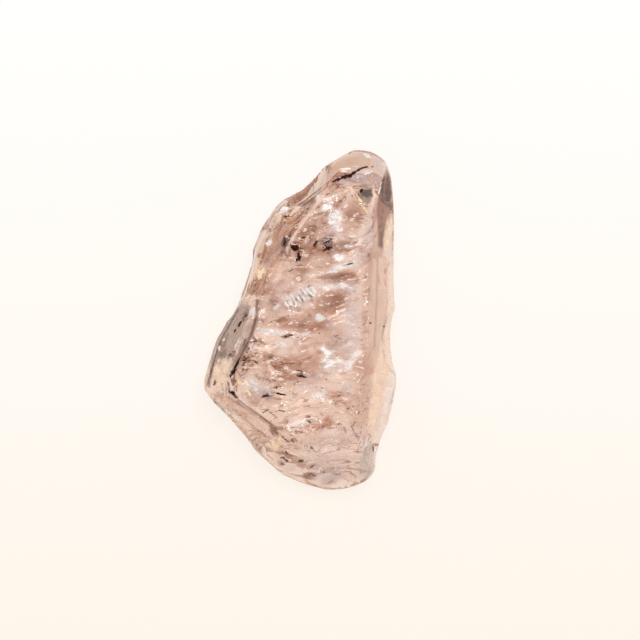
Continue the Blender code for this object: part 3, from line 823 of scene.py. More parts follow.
def fleck_group():
    """A node group: from how much of a place the flecks cover to the mask of the flecks and a soft cloud.
    Flecks show where the streaks of noise rise over a level that sinks as the cover grows, and a cover of
    next to nothing shows none."""
    group = bpy.data.node_groups.new("flecks", "ShaderNodeTree")
    for name, way in (("Cover", "INPUT"), ("Seed", "INPUT"), ("Mask", "OUTPUT"), ("Cloud", "OUTPUT")):
        group.interface.new_socket(name, in_out=way, socket_type="NodeSocketFloat")
    given = group.nodes.new("NodeGroupInput").outputs
    wave = {"W": given["Seed"], "Scale": 1.0, "Detail": 3.0, "Distortion": 0.7}
    wave["Vector"] = along_strokes(group, FLECK_SCALE)
    streak = feed(group, "TexNoise", "Fac", wave, noise_dimensions="4D")
    level = feed(group, "MapRange", "Result", {"Value": given["Cover"], "To Min": 0.70, "To Max": 0.30})
    over = feed(group, "Math", "Value", {0: streak, 1: level}, operation="SUBTRACT")
    edge = feed(group, "MapRange", "Result", {"Value": over, "From Min": -0.05, "From Max": 0.07})
    mask = product(group, edge, product(group, given["Cover"], 20.0, use_clamp=True))
    place = feed(group, "TexCoord", "Object")
    cloud = feed(group, "TexNoise", "Fac", {"Vector": place, "Scale": 1400.0, "Detail": 3.0})
    set_inputs(group.nodes.new("NodeGroupOutput"), {"Mask": mask, "Cloud": cloud})
    return group


FLECKS = fleck_group()


def fleck_mask(tree, cover, seed):
    """The mask of the flecks whose cover is painted on the piece under that name."""
    return feed(tree, "Group", "Mask", {"Cover": painted(tree, cover), "Seed": seed}, node_tree=FLECKS)


glass, tree, shader = new_material("peach_beryl")
absorbed = feed(tree, "VolumeAbsorption", "Volume", {"Color": (0.82, 0.44, 0.24, 1.0), "Density": 27.0})
set_inputs(tree.nodes["Material Output"], {"Volume": absorbed})
mask = fleck_mask(tree, "fleck", seed=1.0)
layers = {"Factor": mask, "A": painted(tree, "tint", "Color"), "B": painted(tree, "fleck tint", "Color")}
stained = feed(tree, "Mix", "Result", layers, data_type="RGBA", blend_type="MULTIPLY")
wave = {"Scale": 0.7, "Detail": 4.0, "Roughness": 0.6, "Distortion": 0.4}
wave["Vector"] = along_strokes(tree, RIDGE_SCALE)
ridges = feed(tree, "TexNoise", "Fac", wave, noise_type="RIDGED_MULTIFRACTAL")
span = {"Value": painted(tree, "hackle"), "To Min": 0.12, "To Max": 0.55}
height = product(tree, ridges, feed(tree, "MapRange", "Result", span))
bump = feed(tree, "Bump", "Normal", {"Height": height, "Strength": 1.0, "Distance": RIDGE_HEIGHT})
set_inputs(shader, {"Base Color": stained, "Normal": bump})
set_inputs(shader, {"Roughness": 0.04, "IOR": 1.58, "Transmission Weight": 1.0})
stone.data.materials.append(glass)
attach(stone, "root")
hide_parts("morganite")


# Milky veils: thin fractures just under the front that scatter light, with painted light and painted shade
# laid on them. They are laid as one thin film over the crystal that glows a little, see-through where they
# are faint, with marks of the same kinds as the stains
# WHITE marks on the veil are painted highlights, CREAM marks are painted light along edges, ridges and the
# thin right edge, and SHADE marks are painted shade
WHITE = (0.94, 0.88, 0.85)
LILAC = (0.68, 0.56, 0.54)
PEACH = (0.87, 0.62, 0.50)
CREAM = (0.96, 0.74, 0.57)
ASH = (0.66, 0.55, 0.49)
COCOA = (0.22, 0.12, 0.09)
SHADE = (0.46, 0.33, 0.27)
GRAPHITE = (0.16, 0.115, 0.095)
ROSE = (0.72, 0.53, 0.46)
PALE_SPOTS = (
    ((-2.3, -6.8), (2.43, 0.84), 0, 0.0, 0.33, CREAM),
    ((1.7, -8.5), (2.25, 0.94), 14, 0.05, 0.3, PEACH),
    ((-3.5, -4.0), (2.06, 0.84), -10, 0.0, 0.33, PEACH),
    ((7.4, 14.4), (0.94, 0.56), -60, 0.55, 0.1, LILAC),
    ((5.8, 13.6), (1.03, 0.28), 22, 0.3, 0.35, WHITE),
    ((4.5, 14.0), (1.12, 0.28), 22, 0.0, 0.3, WHITE),
    ((7.2, 12.9), (0.37, 0.84), -20, 0.35, 0.2, LILAC),
    ((4.3, 11.9), (1.22, 0.37), 5, 0.25, 0.35, PEACH),
    ((1.8, 11.4), (0.47, 0.37), 30, 0.25, 0.42, WHITE),
    ((2.6, 10.6), (0.75, 0.33), 38, 0.4, 0.6, WHITE),
    ((3.2, 9.2), (1.12, 0.65), 78, 0.45, 0.62, WHITE),
    ((4.7, 8.7), (1.22, 0.56), 0, 0.3, 0.3, PEACH),
    ((6.2, 8.2), (0.65, 1.87), 0, 0.3, 0.15, LILAC),
    ((4.4, 6.8), (0.47, 0.19), -5, 0.3, 0.55, WHITE),
    ((3.7, 5.8), (0.75, 0.37), -20, 0.3, 0.6, WHITE),
    ((5.7, 5.6), (0.56, 0.94), 0, 0.35, 0.3, LILAC),
    ((3.9, 4.9), (1.87, 0.37), 20, 0.35, 0.45, WHITE),
    ((1.4, 4.2), (0.94, 0.37), 18, 0.4, 0.6, PEACH),
    ((3.3, 3.1), (1.87, 0.33), 4, 0.35, 0.45, WHITE),
    ((4.7, 2.8), (0.84, 0.47), 10, 0.4, 0.4, LILAC),
    ((0.2, 2.1), (2.06, 0.75), 33, 0.42, 0.3, LILAC),
    ((0.4, 2.2), (1.78, 0.56), 24, 0.25, 0.0, LILAC),
    ((-2.0, 1.2), (0.56, 0.42), 30, 0.25, 0.5, WHITE),
    ((1.8, 0.2), (0.47, 0.37), 0, 0.4, 0.6, WHITE),
    ((2.7, -0.3), (0.56, 0.37), -30, 0.3, 0.3, LILAC),
    ((4.9, 0.7), (0.65, 1.59), 8, 0.25, 0.35, LILAC),
    ((4.6, -1.6), (0.84, 1.87), 0, 0.2, 0.25, LILAC),
    ((4.9, 1.1), (0.37, 0.84), -8, 0.1, 0.2, WHITE),
    ((5.2, -1.0), (0.23, 1.12), 0, 0.1, 0.2, WHITE),
    ((5.5, 1.8), (0.37, 0.37), 0, 0.2, 0.2, WHITE),
    ((3.1, -2.4), (1.12, 1.12), 0, 0.3, 0.15, LILAC),
    ((2.9, -3.8), (1.03, 0.47), -25, 0.4, 0.45, LILAC),
    ((4.4, -4.2), (0.47, 0.37), 20, 0.45, 0.6, WHITE),
    ((4.4, -6.1), (0.56, 0.75), 80, 0.35, 0.35, LILAC),
    ((1.6, -7.0), (0.84, 0.42), 32, 0.45, 0.6, WHITE),
    ((1.2, -5.8), (1.5, 0.84), 20, 0.3, 0.25, LILAC),
    ((3.3, -5.3), (1.31, 0.65), 10, 0.25, 0.2, PEACH),
    ((-2.6, -1.1), (1.68, 0.28), -3, 0.3, 0.45, WHITE),
    ((0.3, -1.4), (0.94, 0.23), 12, 0.25, 0.42, WHITE),
    ((-3.3, -2.8), (1.12, 0.28), -8, 0.35, 0.55, PEACH),
    ((-1.7, -2.3), (0.56, 0.28), 20, 0.3, 0.55, WHITE),
    ((-4.4, -6.0), (1.03, 0.47), -40, 0.45, 0.6, LILAC),
    ((-5.0, -5.8), (0.56, 0.23), -50, 0.4, 0.6, CREAM),
    ((-3.0, -6.2), (0.28, 0.28), 0, 0.5, 0.8, CREAM),
    ((-2.9, 7.2), (0.84, 0.23), 68, 0.35, 0.55, WHITE),
    ((-1.5, 10.2), (0.47, 0.28), 20, 0.3, 0.55, WHITE),
    ((-0.3, 10.3), (0.75, 0.28), -20, 0.2, 0.5, PEACH),
    ((-3.6, 4.6), (0.65, 0.56), 40, 0.45, 0.5, CREAM),
    ((-4.4, 1.9), (0.75, 0.47), 20, 0.4, 0.6, PEACH),
    ((-4.3, 0.8), (0.56, 0.28), 75, 0.25, 0.42, WHITE),
    ((-7.8, -6.2), (1.12, 0.84), 60, 0.3, 0.4, CREAM),
    ((-5.0, -10.4), (1.59, 0.56), -43, 0.45, 0.25, PEACH),
    ((-7.1, -7.0), (1.22, 0.65), -35, 0.5, 0.15, PEACH),
    ((-3.5, -6.8), (1.5, 0.84), 20, 0.3, 0.3, LILAC),
    ((2.9, -4.0), (1.22, 1.12), 20, 0.3, 0.35, WHITE),
    ((-1.8, 4.8), (1.4, 1.31), 20, 0.25, 0.3, PEACH),
    ((-1.8, 1.9), (1.31, 1.31), 20, 0.15, 0.25, LILAC),
    ((2.9, 7.6), (1.22, 1.31), 20, 0.15, 0.3, LILAC),
    ((-7.5, -4.9), (1.4, 0.94), 66, 0.8, 0.3, CREAM),
    ((-3.9, -9.9), (2.81, 1.31), -38, 0.3, 0.15, PEACH),
    ((0.0, -9.5), (1.31, 0.33), 16, 0.2, 0.6, WHITE),
    ((-0.7, -8.0), (1.87, 0.94), 10, 0.0, 0.35, PEACH),
    ((0.0, -10.5), (2.25, 1.12), 10, 0.0, 0.3, PEACH),
    ((-2.2, -11.3), (0.94, 0.47), 75, 0.75, 0.3, CREAM),
    ((-2.9, -11.7), (0.37, 0.28), 0, 0.45, 0.7, CREAM),
    ((0.8, -12.9), (0.65, 0.37), -60, 0.1, 0.3, CREAM),
    ((2.1, -13.4), (1.22, 0.33), 32, 0.4, 0.45, PEACH),
    ((3.4, -11.1), (0.75, 0.56), 60, 0.3, 0.45, LILAC),
    ((6.1, -11.6), (0.56, 0.19), 45, 0.4, 0.55, WHITE),
    ((6.3, -12.3), (0.47, 0.37), 60, 0.4, 0.1, WHITE),
    ((6.4, -12.8), (0.75, 0.28), 80, 0.35, 0.2, LILAC),
    ((3.4, -11.1), (2.81, 0.94), 8, 0.5, 0.15, ROSE),
    ((2.5, -13.1), (2.62, 0.94), 5, 0.5, 0.15, ROSE),
    ((3.0, -14.4), (1.5, 0.65), 5, 0.4, 0.2, LILAC),
    ((4.7, -14.6), (0.94, 0.56), 15, 0.3, 0.3, PEACH),
)
PALE_FACETS = (
    (((3.2, 12.9), (4.3, 13.5), (5.5, 13.7), (6.9, 13.6), (7.0, 12.7), (5.5, 12.6),
      (4.2, 12.5)), 0.45, 0.0, LILAC),
    (((7.3, 5.7), (8.4, 5.7), (8.3, 2.9), (7.3, 2.9)), 0.6, 0.0, PEACH),
    (((5.3, 2.1), (5.8, 1.8), (5.5, 0.7), (5.5, -2.1), (5.3, -3.4), (4.8, -4.4), (3.9, -4.7),
      (3.3, -4.2), (4.0, -3.0), (3.8, -1.7), (4.2, -0.2), (4.3, 0.7)), 0.45, 0.12, LILAC),
    (((-5.6, 1.5), (-4.6, 1.3), (-5.3, -1.2), (-6.3, -3.5), (-8.0, -3.5), (-7.3, -2.4)), 0.45, 0.0, SHADE),
    (((5.8, -11.9), (6.3, -11.4), (6.9, -11.8), (7.0, -14.1), (6.4, -14.9), (5.8, -14.6),
      (5.5, -13.3)), 0.6, 0.1, ASH),
    (((5.5, 12.0), (6.6, 12.3), (6.8, 11.5), (6.1, 11.2), (5.6, 11.5)), 0.88, 0.0, GRAPHITE),
    (((5.8, 11.4), (6.7, 11.4), (6.5, 10.7), (6.0, 10.8)), 0.6, 0.0, SHADE),
    (((8.2, 14.0), (8.5, 13.1), (8.6, 11.6), (8.3, 10.9), (7.8, 11.0), (7.8, 12.3)), 0.5, 0.0, COCOA),
    # These three are painted light along the thin right edge, where light comes straight through the
    # crystal
    (((8.4, 10.0), (8.7, 8.7), (8.3, 7.1), (7.8, 6.3), (7.7, 7.4), (8.0, 9.1)), 0.6, 0.1, CREAM),
    (((8.3, 4.8), (8.6, 4.4), (8.6, -1.0), (8.4, -2.4), (8.6, -4.0), (8.3, -6.0), (7.5, -7.9),
      (6.7, -10.3), (6.2, -10.2), (6.5, -7.5), (6.9, -4.7), (7.4, -2.4), (8.1, -0.2)), 0.5, 0.1, CREAM),
    (((8.2, -5.1), (8.7, -4.4), (8.8, -5.5), (8.6, -7.3), (7.8, -9.8), (7.3, -10.3),
      (7.6, -8.3)), 0.35, 0.1, WHITE),
)
PALE_LINES = (
    (((2.1, -2.6), (2.7, -3.3), (3.7, -3.8), (4.5, -4.4)), 0.3, 0.25, 0.42, WHITE),
    (((5.5, -2.9), (4.8, -3.8), (4.1, -4.2), (3.4, -4.7)), 0.28, 0.25, 0.42, WHITE),
    (((2.5, 12.1), (1.8, 11.1), (1.1, 10.0), (0.0, 8.6), (-0.9, 7.1), (-1.5, 5.8)), 0.13, 0.85, 0, PEACH),
    (((-7.8, -7.3), (-5.8, -8.9), (-3.9, -10.6), (-2.6, -11.7)), 0.1, 0.4, 0.3, PEACH),
    # The CREAM lines are painted highlights along the edges and ridges
    (((3.2, 14.8), (2.9, 14.2), (2.5, 13.2), (2.1, 12.4)), 0.1, 0.4, 0.1, CREAM),
    (((-3.1, 8.2), (-3.8, 5.9), (-4.4, 4.0)), 0.08, 0.25, 0.1, CREAM),
    (((-8.7, -4.5), (-9.0, -6.0), (-8.4, -7.3)), 0.14, 0.6, 0.2, CREAM),
    (((-6.9, -8.7), (-5.2, -10.9), (-3.5, -12.7), (-1.5, -14.2), (0.4, -15.2)), 0.12, 0.45, 0.2, CREAM),
    (((5.9, 10.7), (5.8, 5.6), (5.6, -1.0)), 0.1, 0.35, 0.2, PEACH),
    (((-3.9, 1.8), (-4.0, 0.2), (-4.4, -1.2), (-5.0, -2.5), (-5.7, -3.8),
      (-6.2, -4.8)), 0.14, 0.85, 0, COCOA),
    (((-4.5, -0.2), (-5.0, -1.5), (-5.6, -2.9), (-6.2, -4.2)), 0.2, 0.75, 0, SHADE),
    (((-5.5, -2.0), (-5.8, -3.0)), 0.08, 0.85, 0, PEACH),
    (((-6.5, -6.7), (-5.7, -7.4), (-4.0, -8.6), (-2.9, -9.4), (-2.1, -10.2)), 0.1, 0.65, 0, COCOA),
    # A painted highlight beside the dark seam
    (((-6.2, -6.5), (-5.3, -7.3), (-3.8, -8.3), (-1.8, -9.8)), 0.06, 0.6, 0, PEACH),
    (((-2.8, -9.8), (-2.0, -10.5)), 0.1, 0.7, 0, COCOA),
    (((-5.8, 1.0), (-7.3, -1.7), (-8.1, -3.9), (-8.6, -6.0)), 0.1, 0.75, 0, COCOA),
    (((-2.9, 7.6), (-3.1, 6.9)), 0.06, 0.9, 0, WHITE),
    (((6.8, 12.4), (6.9, 11.5), (6.7, 10.5)), 0.09, 0.7, 0, CREAM),
)
CLEAR_VEIL = (0.93, 0.78, 0.70)
# The faintest part that the film is made for, and the heights of its inner and outer layer over the crystal
FAINT = 0.03
VEIL_LAYERS = (0.012, 0.035)
# The mist that broken crystal has of itself: streaks, raised a little. The pale flecks: the cover that is
# everywhere, and what is added where the brown drift is thinnest
MIST = ((1.0, 1.5, 1.3, 75),)
MIST_STRENGTH = 0.10
LEAST_PALE = 0.01
DRIFT_PALE = 0.17


def film(name, place, normal, square, layers):
    """A thin closed piece along a surface: an inner and an outer layer at set heights over it, and a wall
    along every edge that only one square has."""
    edges = np.stack([square, np.roll(square, -1, axis=1)], axis=-1).reshape(-1, 2)
    _, back, times = np.unique(np.sort(edges, axis=1), axis=0, return_inverse=True, return_counts=True)
    rim = edges[times[back.ravel()] == 1]
    wall = np.stack([rim[:, 1], rim[:, 0], rim[:, 0] + len(place), rim[:, 1] + len(place)], axis=1)
    inner, outer = (place + normal * height for height in layers)
    faces = np.concatenate([square, square[:, ::-1] + len(place), wall])
    piece = mesh_piece(name, np.concatenate([outer, inner]), faces)
    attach(piece, "root")
    return piece


mist = MIST_STRENGTH * np.clip(0.2 + streaks(points, MIST), 0, 1) * broken
pale = (LEAST_PALE + DRIFT_PALE * (1 - drift) * broken) * rough_share(points, normals)
veil_and_light_colour = np.tile(CLEAR_VEIL, (len(points), 1))
for share, even, flecked, colour in brush(points, PALE_SPOTS, PALE_FACETS, PALE_LINES):
    mist = np.maximum(mist, share * even)
    pale = np.maximum(pale, share * flecked)
    veil_and_light_colour += share[:, None] * (np.array(colour) - veil_and_light_colour)
mist *= upper
pale *= upper
shown = (np.maximum(mist, pale) > FAINT)[squares].any(axis=1)
used, square = np.unique(squares[shown], return_inverse=True)
veil_and_light = film("milky_veils_and_painted_light", points[used], normals[used], square.reshape(-1, 4), VEIL_LAYERS)
for name, values in (("mist", mist), ("pale", pale), ("veil and light colour", veil_and_light_colour)):
    paint_points(veil_and_light, name, np.concatenate([values[used], values[used]]))

milk_and_light, tree, shader = new_material("milky_fracture_and_painted_light")
colour = painted(tree, "veil and light colour", "Color")
mask = fleck_mask(tree, "pale", seed=4.0)
span = {"From Min": 0.35, "From Max": 0.65, "To Min": 0.35, "To Max": 0.95}
span["Value"] = mask.node.outputs["Cloud"]
misty = product(tree, painted(tree, "mist"), feed(tree, "MapRange", "Result", span))
alpha = feed(tree, "Math", "Value", {0: misty, 1: product(tree, mask, 0.9)}, operation="MAXIMUM")
# The film glows a little: painted light
set_inputs(shader, {"Base Color": colour, "Emission Color": colour, "Alpha": alpha})
set_inputs(shader, {"Roughness": 0.4, "Emission Strength": 0.2})
veil_and_light.data.materials.append(milk_and_light)


# White feathers: fractures that reach the front, drawn as painted highlights, white and glowing a little.
# Each patch is a thin
# ragged crust laid on the front: its middle, half length and half width, heading, how much of it is whole,
# and the grain of its tears where that isn't its heading
FEATHER_GLINTS = (
    ((3.05, 9.6), (0.62, 0.5), 60, 0.62, 66),
    ((3.45, 8.85), (0.7, 0.45), 78, 0.6, 66),
    ((6.3, 15.35), (0.34, 0.17), -25, 0.95, 0),
    ((6.25, 13.6), (0.6, 0.09), 26, 0.85, 24),
    ((5.35, 13.2), (0.35, 0.06), 34, 0.6, 30),
    ((1.85, 11.35), (0.3, 0.2), 40, 0.6),
    ((2.6, 10.5), (0.6, 0.2), 45, 0.5),
    ((4.4, 6.8), (0.36, 0.08), -5, 0.9, 0),
    ((3.6, 5.8), (0.35, 0.15), -20, 0.55, 0),
    ((-2.85, 7.25), (0.4, 0.1), 68, 0.8),
    ((-1.45, 10.1), (0.3, 0.18), 60, 0.6),
    ((3.8, 4.76), (1.6, 0.13), 18, 0.72),
    ((2.2, 4.25), (0.7, 0.18), 6, 0.45, 10),
    ((4.2, 3.1), (0.8, 0.13), -15, 0.7),
    ((1.35, 4.15), (0.45, 0.2), 30, 0.62),
    ((-2.2, 1.15), (0.5, 0.3), 30, 0.62, -50),
    ((2.7, 3.1), (0.9, 0.12), 13, 0.75),
    ((1.8, 0.35), (0.34, 0.28), 0, 0.72, 30),
    ((2.05, 0.1), (0.3, 0.2), 0, 0.7, 30),
    ((-3.3, -0.95), (0.6, 0.2), -10, 0.85, 10),
    ((-2.0, -1.1), (0.9, 0.09), -2, 0.85, 4),
    ((-2.4, -1.5), (0.45, 0.1), 25, 0.8),
    ((-3.85, -0.75), (0.4, 0.2), 20, 0.5),
    ((0.5, -1.25), (0.6, 0.08), 14, 0.85, 12),
    ((-1.75, -2.35), (0.4, 0.15), 20, 0.72),
    ((4.35, -4.1), (0.2, 0.18), 0, 1.0),
    ((-4.2, -6.0), (0.7, 0.22), -42, 0.8),
    ((-4.45, -5.65), (0.25, 0.2), 0, 0.85, 30),
    ((-7.45, -2.6), (0.26, 0.11), 82, 0.95),
    ((-7.1, -1.85), (0.2, 0.08), 60, 0.9),
    ((-5.85, -2.35), (0.75, 0.07), 66, 0.85),
    ((-6.35, -3.6), (0.14, 0.08), 60, 0.9),
    ((-7.7, -4.3), (0.4, 0.06), 78, 0.6),
    ((-7.3, -6.7), (0.16, 0.1), 10, 0.9),
    ((-7.75, -6.15), (0.3, 0.1), 50, 0.7),
    ((-5.35, -5.85), (0.3, 0.13), -30, 0.8),
    ((-3.6, -2.5), (0.6, 0.1), -8, 0.6),
    ((3.3, -3.6), (0.7, 0.14), -35, 0.55),
    ((1.7, -7.0), (0.6, 0.2), 32, 0.4),
    ((-4.4, 0.85), (0.45, 0.2), 75, 0.8),
    ((-4.6, 1.85), (0.6, 0.3), 25, 0.6, 40),
    ((6.1, -11.65), (0.4, 0.09), 50, 0.8),
    ((0.1, -9.6), (0.7, 0.1), 16, 0.4),
    ((-0.7, -9.75), (0.3, 0.1), 10, 0.75),
    ((0.55, -9.55), (0.5, 0.1), 30, 0.8),
    ((1.05, -12.45), (0.3, 0.11), -70, 0.85),
    ((0.65, -12.9), (0.25, 0.12), 30, 0.85),
    ((0.95, -13.3), (0.3, 0.12), 25, 0.85),
    ((1.75, -13.9), (0.45, 0.1), 32, 0.8),
    ((2.55, -12.0), (0.35, 0.12), 35, 0.6),
    ((3.3, -10.9), (0.5, 0.14), 68, 0.5),
    ((7.4, 12.05), (0.4, 0.08), 75, 0.7),
)
# The fan of parallel tears left of the middle, slanting down to the right, each a step and a turn on
FAN_TEARS = 8
FAN_FIRST = (-1.32, 1.57)
FAN_STEP = (0.39, 0.16)
FAN_HEADING = -62
FAN_TURN = 2.5
FAN_GRAIN = -55
# The squares of a patch, and how far past its ellipse they are tried. The level of its middle: from the
# lowest, up by the rise times the share that is whole
PATCH_CELL = 0.045
PATCH_MARGIN = 1.5
LOWEST_LEVEL = -0.8
LEVEL_RISE = 2.2
# The noise that tears a patch: strength, how far it is drawn out along the grain, size, and how far apart
# the seeds' slices of it lie. Then the noise that bends it, which isn't drawn out
TEARING = ((1.5, 3.0, 0.16, 3.3), (1.1, 1.6, 0.08, 1.7))
BENDING = (0.25, 0.7, 2.1)
# Each patch draws on this many seeds
PATCH_SEEDS = 3
# Strewn patches: the spans that they lie in, the left rim of the broken front at these places along it, how
# many places are tried for each, their drifts' noise and the level that it has to pass
STREWN_SPAN = ((-7.8, 6.2), (-14.8, 12.0))
LEFT_RIM = ((-14.8, -10, -6.5, 2.0, 12.0), (0.5, -3.6, -7.4, -5.4, 1.4))
STREWN_TRIES = 12
STREWN_DRIFTS = ((1.0, 2.2), (0.6, 0.9))
DRIFT_LEVEL = 0.12
STREWN_HEIGHT = 8.0
STREWN_WHOLE = 0.6
STREWN_SCATTER = 24
# The heights of a crust's inner and outer layer over the crystal
CRUST_LAYERS = (-0.03, 0.045)
GRAIN_SCALE = 6000.0


def fan(count, shift, longest, shorter, width, whole):
    """A fan of patches: each a step and a turn on from the last, and shorter by a set length."""
    patches = []
    for n in range(count):
        middle = tuple(first + step * n + aside for first, step, aside in zip(FAN_FIRST, FAN_STEP, shift))
        reach = (longest - shorter * n, width)
        patches.append((middle, reach, FAN_HEADING + FAN_TURN * n, whole, FAN_GRAIN))
    return tuple(patches)


def ragged_squares(seed, middle, reach, heading, whole, grain=None):
    """The plan points and squares of a ragged patch: the cells of a grid where an ellipse less torn noise,
    drawn out along the grain, stays above nothing."""
    across, up = np.ceil(np.array(reach) * PATCH_MARGIN / PATCH_CELL).astype(int)
    u, v = np.meshgrid(np.arange(-across, across + 1), np.arange(-up, up + 1), indexing="ij")
    u, v = u.ravel() * PATCH_CELL, v.ravel() * PATCH_CELL
    turn = np.radians(heading)
    tear = 0 if grain is None else np.radians(grain - heading)
    along = u * np.cos(tear) + v * np.sin(tear)
    side = v * np.cos(tear) - u * np.sin(tear)
    torn = 0
    for n, (strength, draw, size, apart) in enumerate(TEARING):
        slice_of_noise = np.column_stack([along / draw, side, np.full(len(u), seed * apart)])
        torn += strength * noise(slice_of_noise, size, seed + n)
    strength, size, apart = BENDING
    slice_of_noise = np.column_stack([u, v, np.full(len(u), seed * apart)])
    bend = strength * noise(slice_of_noise, size, seed + len(TEARING)) * reach[1]
    level = LEVEL_RISE * whole + LOWEST_LEVEL
    field = level - (u / reach[0]) ** 2 - ((v + bend) / reach[1]) ** 2 + torn
    x = middle[0] + u * np.cos(turn) - v * np.sin(turn)
    y = middle[1] + u * np.sin(turn) + v * np.cos(turn)
    index = np.arange(len(u)).reshape(2 * across + 1, 2 * up + 1)
    square = np.stack([index[:-1, :-1], index[1:, :-1], index[1:, 1:], index[:-1, 1:]], -1).reshape(-1, 4)
    return np.column_stack([x, y]), square[(field[square] > 0).all(axis=1)]


def strewn(count, longest, widest, seed, drift_seed):
    """That many small patches over the broken front, thickest in drifts set by noise, most running along
    the strike. None lies where the stone stayed smooth."""
    random = np.random.default_rng(seed)
    plan = sprinkled(random, count * STREWN_TRIES, *STREWN_SPAN)
    high = np.column_stack([plan, np.full(len(plan), STREWN_HEIGHT)])
    drifts = layered(high, [(*layer, drift_seed + n) for n, layer in enumerate(STREWN_DRIFTS)])
    keep = (plan[:, 0] > np.interp(plan[:, 1], *LEFT_RIM)) & (drifts > DRIFT_LEVEL)
    keep &= rough_share(high, np.tile((0.0, 0.0, 1.0), (len(high), 1))) > 0.5
    patches = []
    for middle in plan[keep][:count]:
        size = longest * at_least(0.3, random.uniform() ** 2)
        run = random.normal(STRIKE, STREWN_SCATTER)
        patches.append((tuple(middle), (size, widest * random.uniform(0.5, 1.3)), run, STREWN_WHOLE))
    return tuple(patches)


def crust(name, patches, seed, layers=CRUST_LAYERS):
    """Ragged patches laid on the front as one thin closed crust."""
    plans, faces, total = [], [], 0
    for n, patch in enumerate(patches):
        plan, square = ragged_squares(seed + PATCH_SEEDS * n, *patch)
        faces.append(square + total)
        plans.append(plan)
        total += len(plan)
    plan, square = np.concatenate(plans), np.concatenate(faces)
    used, square = np.unique(square, return_inverse=True)
    place, normal = slope_at(unit(front_point(plan[used], balls) - CENTRE), balls)
    place += normal * relief(place, normal)[:, None]
    return film(name, place, normal, square.reshape(-1, 4), layers)


def colour_ramp(tree, share, colours, ends=(0, 1)):
    """The output of a ramp from one colour to another between two levels of a share."""
    colour = feed(tree, "ValToRGB", "Color", {"Fac": share})
    for stop, level, paint in zip(colour.node.color_ramp.elements, ends, colours):
        stop.position = level
        stop.color = (*paint, 1)
    return colour


def plain_material(name, colour, roughness, glow=0.0, shine=0.5, mottle=0.75):
    """A Principled finish of one colour, roughness and shine, changed by fine noise towards a share of
    itself. A glow stands for the light that a fracture throws back from inside."""
    material, tree, shader = new_material(name)
    grain = {"Vector": feed(tree, "TexCoord", "Object"), "Scale": GRAIN_SCALE}
    mottled = (tuple(mottle * c for c in colour), colour)
    finish = {
        "Base Color": colour_ramp(tree, feed(tree, "TexNoise", "Fac", grain), mottled, (0.4, 0.68)),
        "Roughness": roughness,
        "Specular IOR Level": shine,
        "Emission Color": (*colour, 1),
        "Emission Strength": glow,
    }
    set_inputs(shader, finish)
    return material


# The fan's tears and the strewn strokes are painted highlights like the feathers
tear_glints = fan(FAN_TEARS, shift=(0, 0), longest=0.62, shorter=0.02, width=0.12, whole=0.95)
strokes = strewn(75, longest=0.4, widest=0.07, seed=5, drift_seed=81)
feather_glints = crust("white_feather_glints", FEATHER_GLINTS + tear_glints + strokes, seed=100)
feather_glints.data.materials.append(plain_material("fracture_white_glint", (0.96, 0.87, 0.82), 0.35, glow=0.14))


# Amber glints: painted highlights, yellow and glowing a little, for slivers of fracture that throw back
# light turned yellow by the stain in the cracks behind them. They are crusts like the feathers
AMBER_GLINTS = (
    ((5.68, 10.85), (0.72, 0.1), -60, 1.1),
    ((6.0, 10.25), (0.3, 0.08), -42, 1.05),
    ((-5.5, -5.85), (0.36, 0.12), -50, 0.9),
    ((-4.8, -6.6), (0.4, 0.14), -50, 0.85),
    ((-3.0, -6.2), (0.3, 0.18), 0, 0.85),
    ((-2.75, -11.75), (0.35, 0.16), 20, 0.7),
    ((-1.9, -11.0), (0.4, 0.1), 70, 0.5),
    ((-3.5, 4.4), (0.75, 0.45), 40, 0.62),
    ((0.9, -12.7), (0.35, 0.08), -60, 0.8),
    ((1.1, -13.2), (0.3, 0.08), 20, 0.8),
    ((-0.1, 4.9), (0.9, 0.06), 2, 0.6),
    ((0.6, 6.2), (1.3, 0.07), -28, 0.6),
    ((-0.4, 8.0), (1.6, 0.06), 58, 0.5),
)
strokes = strewn(18, longest=0.4, widest=0.06, seed=21, drift_seed=85)
amber = crust("amber_glints", AMBER_GLINTS + strokes, seed=2000)
amber.data.materials.append(plain_material("fracture_amber_glint", (0.98, 0.75, 0.46), 0.3, glow=0.28))


